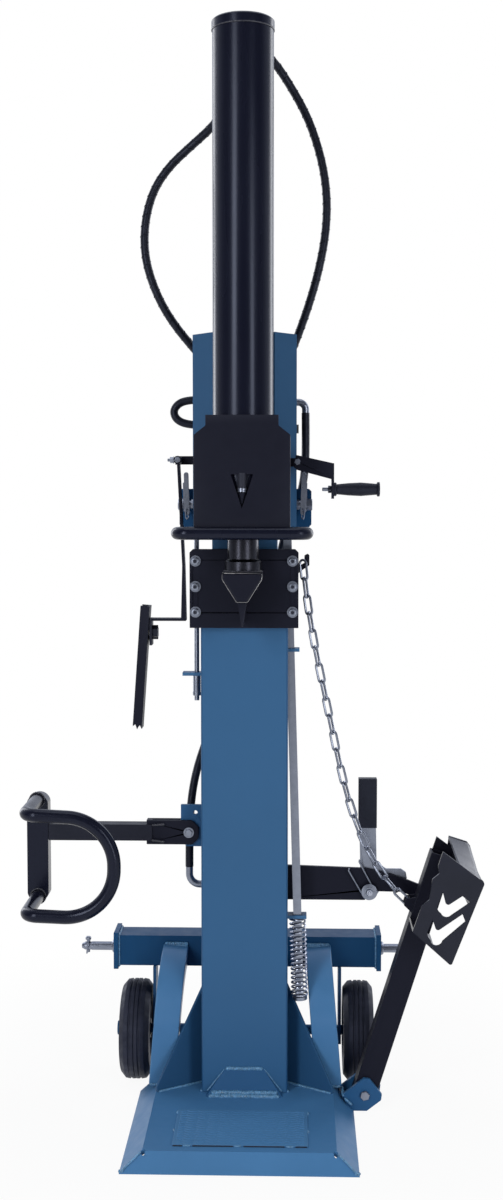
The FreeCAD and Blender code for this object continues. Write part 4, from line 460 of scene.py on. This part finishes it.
class Form:
    """Vertices and faces gathered for one piece, in metres."""

    def __init__(self):
        self.points = []
        self.faces = []

    def bar(self, path, radius, sides=8, closed=False):
        """A round bar along a path of metres; radius is one value or one for each point."""
        path = [Vector(point) for point in path]
        count = len(path)
        radii = radius if isinstance(radius, list) else [radius] * count
        first = len(self.points)
        across = None
        for index, (point, size) in enumerate(zip(path, radii)):
            before = path[index - 1] if index or closed else point
            after = path[(index + 1) % count] if index + 1 < count or closed else point
            along = (after - before).normalized()
            if across is None:
                across = along.orthogonal().normalized()
            across = (across - along * across.dot(along)).normalized()
            beside = along.cross(across)
            for cosine, sine in unit_circle(sides):
                self.points.append(point + (across * cosine + beside * sine) * size)
        for row in range(count if closed else count - 1):
            low = first + row * sides
            high = first + (row + 1) % count * sides
            for step in range(sides):
                following = (step + 1) % sides
                self.faces.append((low + step, low + following, high + following, high + step))
        if not closed:
            self.cap(first, first + (count - 1) * sides, sides)

    def lathe(self, profile, place, axis, sides=24, spin=0.0):
        """A turned shape; profile is (along, radius) in millimetres from place along axis."""
        turn_to = turned_to(axis)
        first = len(self.points)
        for along, radius in profile:
            for cosine, sine in unit_circle(sides, spin):
                self.points.append(place + turn_to @ Vector(
                    (radius * cosine, radius * sine, along)) * MM)
        for row in range(len(profile) - 1):
            low = first + row * sides
            for step in range(sides):
                following = (step + 1) % sides
                self.faces.append((low + step, low + following,
                                   low + sides + following, low + sides + step))
        self.cap(first, first + (len(profile) - 1) * sides, sides)

    def cap(self, first, last, sides):
        """Close both ends, given the first point of each end's ring."""
        self.faces.append(tuple(first + step for step in reversed(range(sides))))
        self.faces.append(tuple(last + step for step in range(sides)))

    def bead(self, path, radius, seed, pitch=4.5):
        """A weld bead along a path of metres, with the ripples and lumps of hand welding."""
        chance = random.Random(seed)
        places = []
        sizes = []
        run = 0.0
        step = 1.1 * MM
        for start, end in zip(path, path[1:]):
            length = (end - start).length
            count = max(int(length / step), 2)
            drift = Vector((0, 0, 0))
            for index in range(count):
                here = start.lerp(end, index / count)
                drift = drift * 0.8 + Vector([chance.uniform(-1, 1) for _ in range(3)]) \
                    * radius * 0.05
                ripple = 0.13 * math.sin(2 * math.pi * run / (pitch * MM))
                places.append(here + drift)
                sizes.append(radius * (0.94 + ripple + chance.uniform(-0.07, 0.07)))
                run += length / count
        for end, share in ((0, 0.35), (1, 0.7)):
            sizes[end] *= share
            sizes[-1 - end] *= share
        self.bar(places, sizes, 10)

    def piece(self, name, body, slot, flat=32, material=None):
        """Make the object; edges sharper than flat degrees stay sharp."""
        mesh = bpy.data.meshes.new(name)
        mesh.from_pydata([tuple(point) for point in self.points], [], self.faces)
        mesh.update()
        mesh.shade_smooth()
        mesh.set_sharp_from_angle(angle=math.radians(flat))
        piece = bpy.data.objects.new(name, mesh)
        SCENE.collection.objects.link(piece)
        mesh.materials.append(material or MATERIALS[slot])
        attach(piece, body)
        return piece


# the share of a spring's height that its closed end turns take up
CLOSED_RISE = 0.08


def helix(centre, axis, radius, length, turns, per_turn=20, closed_ends=0.0):
    """Points of a coil; closed_ends is the share of the turns lying close at each end."""
    turn_to = turned_to(axis)
    count = int(turns * per_turn)
    points = []
    for index in range(count + 1):
        share = index / count
        turn = 2 * math.pi * turns * share
        rise = share
        if closed_ends:
            open_share = (share - closed_ends) / (1 - 2 * closed_ends)
            rise = CLOSED_RISE * share + (1 - CLOSED_RISE) * min(max(open_share, 0), 1)
        points.append(centre + turn_to @ Vector(
            (radius * math.cos(turn), radius * math.sin(turn), rise * length)))
    return points


# ---------------------------------------------------------------- hoses
HOSE_RADIUS = 10 * MM
WRAP_PITCH, WRAP_RADIUS = 24 * MM, 1.1 * MM
WRAP_STEP = 1.6 * MM
HOSES = {
    "left": [(-26, -75, 2400), (-50, -58, 2395), (-84, -18, 2367), (-130, 2, 2333),
             (-184, 14, 2288), (-223, 20, 2234), (-243, 20, 2166), (-247, 20, 2097),
             (-236, 21, 2035), (-209, 26, 1966), (-174, 38, 1910), (-134, 56, 1862),
             (-104, 84, 1828), (-94, 112, 1806), (-94, 112, 1772.3)],
    "right": [(26, -75, 2534), (48, -58, 2531), (75, -22, 2514), (106, 2, 2474),
              (144, 15, 2412), (171, 20, 2344), (190, 20, 2269), (197, 20, 2194),
              (192, 21, 2116), (175, 26, 2032), (152, 38, 1955), (125, 56, 1882),
              (103, 84, 1832), (94, 112, 1806), (94, 112, 1772.3)],
    "loop": [(-108, 112, 1735), (-138, 112, 1735), (-170, 112, 1728), (-186, 112, 1706),
             (-174, 112, 1682), (-140, 112, 1672), (-108, 112, 1672)],
    "feed": [(146, 112, 1701.7), (147, 112, 1630), (145, 112, 1550), (130, 112, 1480),
             (102, 112, 1420), (80, 112, 1340), (72, 112, 1240), (70, 112, 1060),
             (69, 112, 900), (60, 132, 820), (42, 188, 780), (32, 236, 752),
             (32, 236, 705.6)],
    "return": [(-64, 112, 1639.4), (-66, 112, 1500), (-63, 112, 1320), (-64, 112, 1140),
               (-70, 110, 1000), (-84, 102, 930), (-104, 86, 876), (-122, 66, 822),
               (-134, 50, 766), (-140, 42, 706), (-142, 41, 640), (-142, 41, 570.4)],
}


def route_curve(name, points, radius):
    """A smooth tube whose control points are the hose's route."""
    data = bpy.data.curves.new(name, "CURVE")
    data.dimensions = "3D"
    data.bevel_depth = radius
    data.bevel_resolution = 4
    data.use_fill_caps = True
    spline = data.splines.new("NURBS")
    spline.points.add(len(points) - 1)
    for knot, place in zip(spline.points, points):
        knot.co = (*(value * MM for value in place), 1)
    spline.order_u = 3
    spline.use_endpoint_u = True
    spline.resolution_u = 10
    return data


def centre_line(data):
    """Points along a curve's own line, read with its bevel off."""
    plain = data.copy()
    plain.bevel_depth = 0
    holder = bpy.data.objects.new("line", plain)
    SCENE.collection.objects.link(holder)
    bpy.context.view_layer.update()
    mesh = bpy.data.meshes.new_from_object(holder)
    points = [vertex.co.copy() for vertex in mesh.vertices]
    bpy.data.objects.remove(holder)
    return points


def length_of(points):
    return sum((after - before).length for before, after in zip(points, points[1:]))


def add_hoses():
    pieces = {}
    for name, points in HOSES.items():
        data = route_curve(f"hose_{name}", points, HOSE_RADIUS)
        hose = bpy.data.objects.new(f"hose_{name}", data)
        SCENE.collection.objects.link(hose)
        data.materials.append(MATERIALS["hose_rubber"])
        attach(hose, "frame")
        round(length_of(centre_line(data)), 4)
        pieces[name] = hose
    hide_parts("hose_left")
    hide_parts("hose_right")
    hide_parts("hose_set")
    return pieces


def add_hose_wraps(pieces):
    """A spiral guard wound round the two long hoses."""
    for name in ("left", "right"):
        line = centre_line(pieces[name].data)
        form = Form()
        path = []
        run = 0.0
        for before, after in zip(line, line[1:]):
            length = (after - before).length
            steps = max(int(length / WRAP_STEP), 1)
            along = (after - before).normalized()
            across = (Vector((0, 1, 0)) - along * along.y).normalized()
            beside = along.cross(across)
            for step in range(steps):
                here = before.lerp(after, step / steps)
                turn = 2 * math.pi * (run + length * step / steps) / WRAP_PITCH
                path.append(here + (across * math.cos(turn) + beside * math.sin(turn))
                            * (HOSE_RADIUS + 0.1 * MM))
            run += length
        form.bar(path, WRAP_RADIUS, 5)
        form.piece(f"hose_{name}_wrap", "frame", "hose_rubber")


HOSE_PIECES = add_hoses()


# ---------------------------------------------------------------- chain and springs
SAME_POINT = 0.05 * MM
CHAIN_LEAN, LEAN_START, LEAN_HEIGHT = 23 * MM, 1.13, 0.13


def islands(mesh):
    """The separate lumps of a mesh, each as an array of its points."""
    owner = list(range(len(mesh.vertices)))

    def root(index):
        while owner[index] != index:
            owner[index] = owner[owner[index]]
            index = owner[index]
        return index

    twins = {}
    for vertex in mesh.vertices:
        key = tuple(round(value / SAME_POINT) for value in vertex.co)
        owner[root(vertex.index)] = root(twins.setdefault(key, vertex.index))
    for edge in mesh.edges:
        owner[root(edge.vertices[0])] = root(edge.vertices[1])
    lumps = {}
    for vertex in mesh.vertices:
        lumps.setdefault(root(vertex.index), []).append(tuple(vertex.co))
    return [np.array(points) for points in lumps.values()]


def add_chain():
    """Round wire links, each lying in the place of its link in the frame."""
    wire = 3.0 * MM
    form = Form()
    for points in islands(frame["nodes"]["lifting_chain"].data):
        centre = points.mean(axis=0)
        axes = np.linalg.svd(points - centre, full_matrices=False)[2]
        spread = (points - centre) @ axes.T
        low, high = spread.min(axis=0), spread.max(axis=0)
        middle = Vector(centre + ((high + low) / 2) @ axes)
        # the hook's end hangs in front of the stop rod and its spring
        middle.y -= CHAIN_LEAN * min(max((middle.z - LEAN_START) / LEAN_HEIGHT, 0), 1)
        half_long, half_wide = ((high - low) / 2)[:2]
        half_run = Vector(axes[0]) * (half_long - half_wide)
        form.bar(round_ended(middle - half_run, middle + half_run, Vector(axes[1]),
                             half_wide - wire), wire, 10, closed=True)
    chain = form.piece("chain_links", "chain", "zinc")
    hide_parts("lifting_chain")
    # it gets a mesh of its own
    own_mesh(chain)


def add_rod_spring():
    """The compression spring on the stop rod, which shortens as the rod rises."""
    low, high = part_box("control_spring")
    lean = Vector((-0.028108, 0, 0.999605))
    cover = (high[1] - low[1]) / 2
    # it sits back a little, clear of the lowered carriage and its hook
    plane = (low[1] + high[1]) / 2 + 3.4 * MM
    radius = cover - 0.6 * MM
    wire = 2.3 * MM
    rise = high[2] - low[2] - 1.5 * MM
    foot = Vector((low[0] + cover + rise * -lean[0], plane, low[2] + 0.8 * MM)) + lean * wire
    form = Form()
    form.bar(helix(foot, lean, radius - wire, rise - 2 * wire, 19, 20, 0.06), wire, 8)
    spring = form.piece("stop_spring_coil", "frame", "zinc", material=SPRING_WIRE)
    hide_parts("control_spring")
    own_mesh(spring)


def add_return_spring():
    """The small spring on the thin return rod."""
    low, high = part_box("return_rod")
    form = Form()
    foot_height = 1.021
    centre = Vector(((low[0] + high[0]) / 2, (low[1] + high[1]) / 2, foot_height))
    form.bar(helix(centre, UP, 8.4 * MM, 38 * MM, 9, 18), 1.3 * MM, 8)
    form.piece("return_spring_coil", "frame", "zinc")


def add_latch_spring():
    """A torsion spring round the latch pivot, with two straight legs, a disc and a nut."""
    pivot = spot(304.8, 0, 521.6)
    wire = 2.2 * MM
    form = Form()
    coil = helix(pivot + spot(0, -6.2, 0), (0, 1, 0), 13.4 * MM, 7.2 * MM, 2.6, 26)
    form.bar(coil, wire, 10)
    for back, root, tip in ((-6.4, (-16, -8), (-51, 53)), (-1.5, (8, 12), (-25, 74))):
        foot = pivot + spot(root[0], back, root[1])
        end = pivot + spot(tip[0], back, tip[1])
        form.bar([foot, foot.lerp(end, 0.5), end, end + spot(1.5, 0, 5)], wire, 10)
    spring = form.piece("latch_torsion_spring", "frame", "zinc")
    disc = Form()
    disc.lathe([(0, 17.5), (0.4, 19.4), (1.4, 20.0), (2.3, 19.4), (2.7, 18.2)],
               pivot + spot(0, -8.3, 0), (0, -1, 0), 48)
    disc.piece("latch_spring_disc", "frame", "zinc")
    nut = Form()
    front = pivot + spot(0, -11.0, 0)
    add_hex(nut, front, (0, -1, 0), 15, 6.5, 10.5)
    nut.lathe([(0, 4.0), (11.5, 4.0), (12.5, 3.2)], front, (0, -1, 0), 16)
    nut.piece("latch_pivot_nut", "frame", "zinc", material=SPRING_WIRE)
    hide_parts("latch_spring")


def add_linch_clips():
    """A clip pin through each link pin's end hole, with its spring ring."""
    low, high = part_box("link_pins")
    for name, sign, end in (("left", -1, low[0]), ("right", 1, high[0])):
        hole = Vector((end - sign * 16 * MM, (low[1] + high[1]) / 2, (low[2] + high[2]) / 2))
        form = Form()
        form.lathe([(-17, 2.5), (-16, 4.3), (15, 4.3), (17, 7.5), (22, 7.5), (24, 5.5)],
                   hole, UP, 20)
        ring = [hole + spot(-sign * 3.5 * sine, 19 * cosine, 19.5 * sine)
                for cosine, sine in unit_circle(32, math.pi / 2, closed=True)]
        form.bar(ring, 1.7 * MM, 8)
        form.piece(f"linch_clip_{name}", "frame", "zinc")


# ---------------------------------------------------------------- fasteners
HEX = 6
HEX_SPIN = 0.26
WASHER_THICK = 2.2


def add_hex(form, place, axis, across, tall, washer=0.0):
    """A hexagon head or nut with chamfered corners, on a washer of that radius if any."""
    start = 0.0
    if washer:
        soft = 0.4
        form.lathe([(0, washer - soft), (soft, washer), (WASHER_THICK - soft, washer),
                    (WASHER_THICK, washer - soft)], place, axis, 28)
        start = WASHER_THICK
    corner = across / 2 / math.cos(math.pi / HEX)
    form.lathe([(start, corner * 0.97), (start + 0.5, corner), (start + tall - 1.2, corner),
                (start + tall, corner * 0.88), (start + tall, 0.1)], place, axis, HEX, HEX_SPIN)


def add_socket_caps():
    """A domed rim on each carriage bolt, with a flat black hexagon for its socket: painted shade
    of the recess.
    """
    low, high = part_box("carriage_bolts")
    inset, pitch = 13 * MM, 60.5 * MM
    rim = Form()
    dark = Form()
    for x in (low[0] + inset, high[0] - inset):
        for row in range(3):
            place = Vector((x, low[1] + 0.2 * MM, low[2] + inset + row * pitch))
            rim.lathe([(-0.2, 9.0), (0.6, 8.9), (1.5, 7.9), (2.0, 6.4), (1.9, 5.0), (0.5, 4.7)],
                      place, (0, -1, 0), 32)
            # painted shade: a flat black hexagon where the socket's recess is
            dark.lathe([(0.5, 4.4), (0.8, 4.3)], place, (0, -1, 0), HEX, 0.4)
    rim.piece("bolt_rims", "carriage", "zinc")
    dark.piece("bolt_socket_shade", "carriage", "black_paint")


def add_pivot_bolts():
    """Hexagon heads, shanks and nuts in the places of the frame's pivot bolts."""
    form = Form()
    for points in islands(frame["nodes"]["pivot_bolts"].data):
        low, high = points.min(axis=0), points.max(axis=0)
        centre = Vector(((low[0] + high[0]) / 2, 0, (low[2] + high[2]) / 2))
        shank = (high[0] - low[0]) / 2 / 1.7 / MM
        front, back = low[1] + 7 * MM, high[1] - 8 * MM
        base = centre + Vector((0, front, 0))
        form.lathe([(0, shank), ((back - front) / MM, shank)], base, (0, 1, 0), 24)
        washer = 0 if shank > 9 else shank * 1.62
        add_hex(form, base, (0, -1, 0), shank * 2.1, 6.6 - (WASHER_THICK if washer else 0), washer)
        end = centre + Vector((0, back, 0))
        add_hex(form, end, (0, 1, 0), shank * 2.1, 5.4, shank * 1.5)
    bolts = form.piece("pivot_bolt_set", "frame", "zinc")
    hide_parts("pivot_bolts")


def rounded_bar(form, places, width, thick):
    """A flat bar in an XZ plane from place to place (millimetres) with round ends."""
    start, end = Vector(places[0]), Vector(places[1])
    along = (end - start).normalized()
    outline = round_ended(start, end, Vector((along.z, 0, -along.x)), width / 2)
    soft = 0.7
    middle = (start + end) / 2
    first = len(form.points)
    layers = [(-thick / 2, soft), (-thick / 2 + soft, 0), (thick / 2 - soft, 0),
              (thick / 2, soft)]
    for depth, inset in layers:
        for place in outline:
            shift = (middle - place).normalized() * inset
            form.points.append((place + shift + Vector((0, depth, 0))) * MM)
    count = len(outline)
    for row in range(len(layers) - 1):
        for step in range(count):
            following = (step + 1) % count
            low = first + row * count
            form.faces.append((low + step, low + count + step,
                               low + count + following, low + following))
    form.cap(first + (len(layers) - 1) * count, first, count)


def add_lock_pins():
    """Turned lock pins with hexagon collars, folding handles and spring rings."""
    for name, sign in (("left", -1), ("right", 1)):
        low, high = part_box(f"lock_pin_{name}")
        height, plane = 1474, -30
        inner, outer = 62, 163
        form = Form()
        start = spot(sign * inner, plane, height)
        form.lathe([(0, 7.5), (3, 10), (outer - inner - 14, 10)], start, (sign, 0, 0), 28)
        add_hex(form, spot(sign * (outer - 14), plane, height), (sign, 0, 0), 25, 13)
        add_hex(form, spot(sign * 122, plane, height), (sign, 0, 0), 22, 9)
        top, foot = high[2] / MM - 6, low[2] / MM + 6
        rounded_bar(form, [(sign * 139, plane - 13, foot + 12),
                           (sign * 141.5, plane - 13, top)], 11.5, 5)
        rounded_bar(form, [(sign * 144.5, plane - 8, foot + 18),
                           (sign * 146.5, plane - 8, top - 22)], 7, 3.5)
        ring = [spot(sign * (139 + 3.5 * sine), plane - 16 - 2.5 * sine,
                     foot + 9 + 12 * cosine) for cosine, sine in unit_circle(24, closed=True)]
        form.bar(ring, 1.5 * MM, 8)
        pin = form.piece(f"lock_handle_{name}", f"lock_{name}", "zinc")
        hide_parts(f"lock_pin_{name}")


def add_window_fitting():
    """The hose nipple on the gland, seen through the guard's pointed window."""
    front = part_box("cylinder_tube")[0][1] - 3 * MM
    place = Vector((0, front, 1.512))
    neck = Form()
    neck.lathe([(0, 9.6), (34, 10.4)], place, UP, 28)
    neck.lathe([(-10.5, 9.0), (-30, 3.2), (-38, 1.2)], place, UP, 28)
    neck.piece("gland_neck", "frame", "black_paint")
    ring = Form()
    ring.lathe([(-10, 9.4), (-9, 10.8), (-6.6, 10.8), (-6.2, 9.8), (-4.8, 9.8), (-4.4, 11.4),
                (-1, 11.4), (0, 9.8)], place, UP, 28)
    ring.piece("gland_ring", "frame", "zinc")


def add_knife_outline():
    """The bright ground edge round the knife's front face."""
    half, waist = 45.3, 12.5
    front = -245.4
    top, shoulder, low = 1317.8, 1304, 1252
    path = [(half - 3, top), (half, top - 3), (half, shoulder), (waist + 1, low + 1),
            (waist - 1, low)]
    ring = path + [(-x, z) for x, z in reversed(path)]
    form = Form()
    form.bar([spot(x, front, z) for x, z in ring], 0.6 * MM, 6, closed=True)
    form.piece("knife_ground_edge", "carriage", "machined_steel")


def add_lever_hardware():
    """Zinc nuts and studs on the hand levers and the claw."""
    end = spot(-165, -104, 1579)
    left = Form()
    add_hex(left, end, (-1, 0, 0), 13, 8, 8.5)
    left.lathe([(0, 3.6), (15.2, 3.6), (16, 2.8)], end, (-1, 0, 0), 16)
    left.piece("left_lever_nut", "frame", "zinc")
    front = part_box("lever_mounts")[0][1] + 1.6 * MM
    for name, x, z in (("left", -155, 1579), ("right", 126, 1574)):
        cap = Form()
        add_hex(cap, Vector((x * MM, front, z * MM)), (0, -1, 0), 13, 5)
        cap.piece(f"{name}_stud_nut", "frame", "zinc")
    place = Vector((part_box("right_grip")[0][0] + 8.2 * MM, -0.105, 1.510))
    grip = Form()
    add_hex(grip, place, (1, 0, 0), 15.6, 7.2)
    grip.lathe([(-14, 3.0), (-13, 4.4), (0, 4.4)], place, (1, 0, 0), 16)
    grip.piece("grip_nut_plated", "control_grip", "zinc")


# ---------------------------------------------------------------- welds
SMOOTH = 180
BASE_TOP = 45
SEAM = BASE_TOP + 1.5
CYLINDER_PLANE = -165


def add_weld(name, paths, radius, body, slot, seed):
    """Beads along paths of places, all in millimetres, as one piece."""
    form = Form()
    for index, path in enumerate(paths):
        form.bead([spot(*place) for place in path], radius * MM, seed * 100 + index)
    form.piece(name, body, slot, SMOOTH, BLACK_BEAD if "black" in slot else BLUE_BEAD)


def both(path):
    """A path and its mirror image across the machine."""
    return [path, [(-x, y, z) for x, y, z in path]]


def ring_round(x, low_y, high_y, low_z, high_z):
    """A closed square path in the plane x."""
    return [(x, low_y, low_z), (x, high_y, low_z), (x, high_y, high_z), (x, low_y, high_z),
            (x, low_y, low_z)]


def flat_ring(radius, height, steps):
    """A closed circle round the cylinder's axis."""
    return [(radius * cosine, CYLINDER_PLANE + radius * sine, height)
            for cosine, sine in unit_circle(steps, closed=True)]


def add_base_welds():
    foot = [[(-86, -119, BASE_TOP + 2), (86, -119, BASE_TOP + 2)],
            [(-80, -114, BASE_TOP + 9), (82, -114, BASE_TOP + 9)]]
    add_weld("wedge_foot_weld", foot, 6.0, "frame", "blue_base", 2)
    top = [[(-46, -91.5, 105), (46, -91.5, 105)]]
    add_weld("wedge_top_weld", top, 5.2, "frame", "blue_base", 3)
    add_weld("wedge_side_welds", both([(47, -91.0, 104), (91, -91.0, 48)]), 2.6, "frame",
             "blue_paint", 4)
    gusset = both([(80, -8, BASE_TOP + 3), (80, -8, 316)]) \
        + both([(92, -17.5, SEAM), (210, -94.5, SEAM)]) \
        + both([(96, -2, SEAM), (216, -80, SEAM)])
    add_weld("gusset_welds", gusset, 3.0, "frame", "blue_paint", 5)
    guide = both([(105, -88, SEAM), (105, -76, SEAM)]) \
        + both([(79, -72, SEAM), (79, 74, SEAM)]) \
        + [[(-79, 77, SEAM), (79, 77, SEAM)]]
    add_weld("column_foot_welds", guide, 3.6, "frame", "blue_paint", 6)
    leg = both([(177, 10, SEAM), (177, -49, SEAM), (236, -49, SEAM)])
    add_weld("leg_foot_welds", leg, 3.2, "frame", "blue_paint", 7)
    corner = both([(218, -427, 44), (240, -436, 25), (263, -445, 4)])
    add_weld("skirt_corner_welds", corner, 2.6, "frame", "blue_base", 8)
    feet = both([(255, -443, 7.5), (263, -442, 4.5), (266, -434, 4.8)])
    add_weld("skirt_foot_welds", feet, 3.6, "frame", "blue_base", 19)
    tacks = [[(x - 9, -399, BASE_TOP + 1), (x + 9, -399, BASE_TOP + 1)]
             for x in (-118, -4, 112)]
    for y in (-316, -214):
        tacks += both([(153, y - 8, BASE_TOP + 1), (153, y + 8, BASE_TOP + 1)])
    add_weld("grip_plate_tacks", tacks, 2.6, "frame", "blue_base", 9)
    bracket = [[(243, -88, 33), (262, -88, 16)], [(240, -86, 38), (240, -30, 38)]]
    add_weld("bracket_welds", bracket, 3.4, "frame", "blue_base", 10)


def add_frame_welds():
    bar = both([(150, 107, 354), (211, 107, 354)]) + both([(151, 104, 349), (210, 104, 349)])
    add_weld("leg_top_welds", bar, 4.4, "frame", "blue_paint", 11)
    plates = both(ring_round(328.0, 109, 189, 294, 374))
    add_weld("end_plate_welds", plates, 3.0, "frame", "blue_paint", 12)
    latch = [[(79, 3, 500), (79, 3, 583)], [(79, 15, 500), (79, 15, 583)]]
    add_weld("latch_arm_weld", latch, 3.0, "frame", "black_paint", 13)
    holder = [[(-79, -26, 640), (-79, -26, 736)], [(-79, -14, 640), (-79, -14, 736)]]
    add_weld("holder_bracket_weld", holder, 2.6, "frame", "blue_paint", 14)
    fork = [[(-228, -41, 691.5), (-195, -41, 694)], [(-229, -41, 655), (-196, -41, 651)]]
    add_weld("fork_weld", fork, 2.8, "holder", "black_gloss", 15)
    loop = [[(-509 + 18.5 * cosine, -41.5, height + 18.5 * sine)
             for cosine, sine in unit_circle(18, closed=True)] for height in (752, 514)]
    add_weld("loop_foot_welds", loop, 2.6, "holder", "black_gloss", 16)
    collar = flat_ring(44.5, 1319.5, 24)
    add_weld("rod_collar_weld", [collar], 2.6, "carriage", "black_paint", 17)
    cap = flat_ring(71.2, 2551, 48)
    add_weld("cylinder_cap_weld", [cap], 1.6, "frame", "black_gloss", 18)


# ---------------------------------------------------------------- grip plate
def add_grip_tread():
    """Raised wavy ridges over the foot plate, higher near its sides, and a painted shadow along
    its front edge.
    """
    low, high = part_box("grip_plate")
    wide, deep = 200, 150
    margin, ridge = 5 * MM, 1.7 * MM
    ridge_pitch, scallop_pitch, scallop_depth = 0.0125, 0.026, 0.006
    points, faces = [], []
    for row in range(deep + 1):
        y = low[1] + margin + (high[1] - low[1] - 2 * margin) * row / deep
        for column in range(wide + 1):
            x = low[0] + margin + (high[0] - low[0] - 2 * margin) * column / wide
            side = min(abs(x) / high[0], 1)
            scallop = abs(math.sin(math.pi * x / scallop_pitch))
            phase = math.sin(2 * math.pi * (y + scallop_depth * scallop) / ridge_pitch)
            strength = 0.35 + 0.65 * side ** 2
            edge = min(row, deep - row, column, wide - column)
            lift = ridge * max(phase, -0.2) * strength if edge > 1 else -0.2 * MM
            points.append((x, y, high[2] + lift))
    for row in range(deep):
        for column in range(wide):
            first = row * (wide + 1) + column
            faces.append((first, first + 1, first + wide + 2, first + wide + 1))
    form = Form()
    form.points, form.faces = points, faces
    form.piece("foot_tread", "frame", "blue_base", SMOOTH)
    # painted shadow: a thin black bar along the plate's front edge
    shadow_strip = Form()
    y, z = low[1] / MM - 0.7, 46.2
    for start, end in ((-150, -129), (-106, -15), (8, 100), (124, 150)):
        shadow_strip.bar([spot(start, y, z), spot(end, y, z)], 1.5 * MM, 6)
    shadow_strip.piece("grip_plate_shadow_strip", "frame", "black_paint")


add_chain()
add_rod_spring()
add_return_spring()
add_latch_spring()
add_linch_clips()
add_socket_caps()
add_pivot_bolts()
add_lock_pins()
add_window_fitting()
add_knife_outline()
add_lever_hardware()
add_hose_wraps(HOSE_PIECES)
add_base_welds()
add_frame_welds()
add_grip_tread()
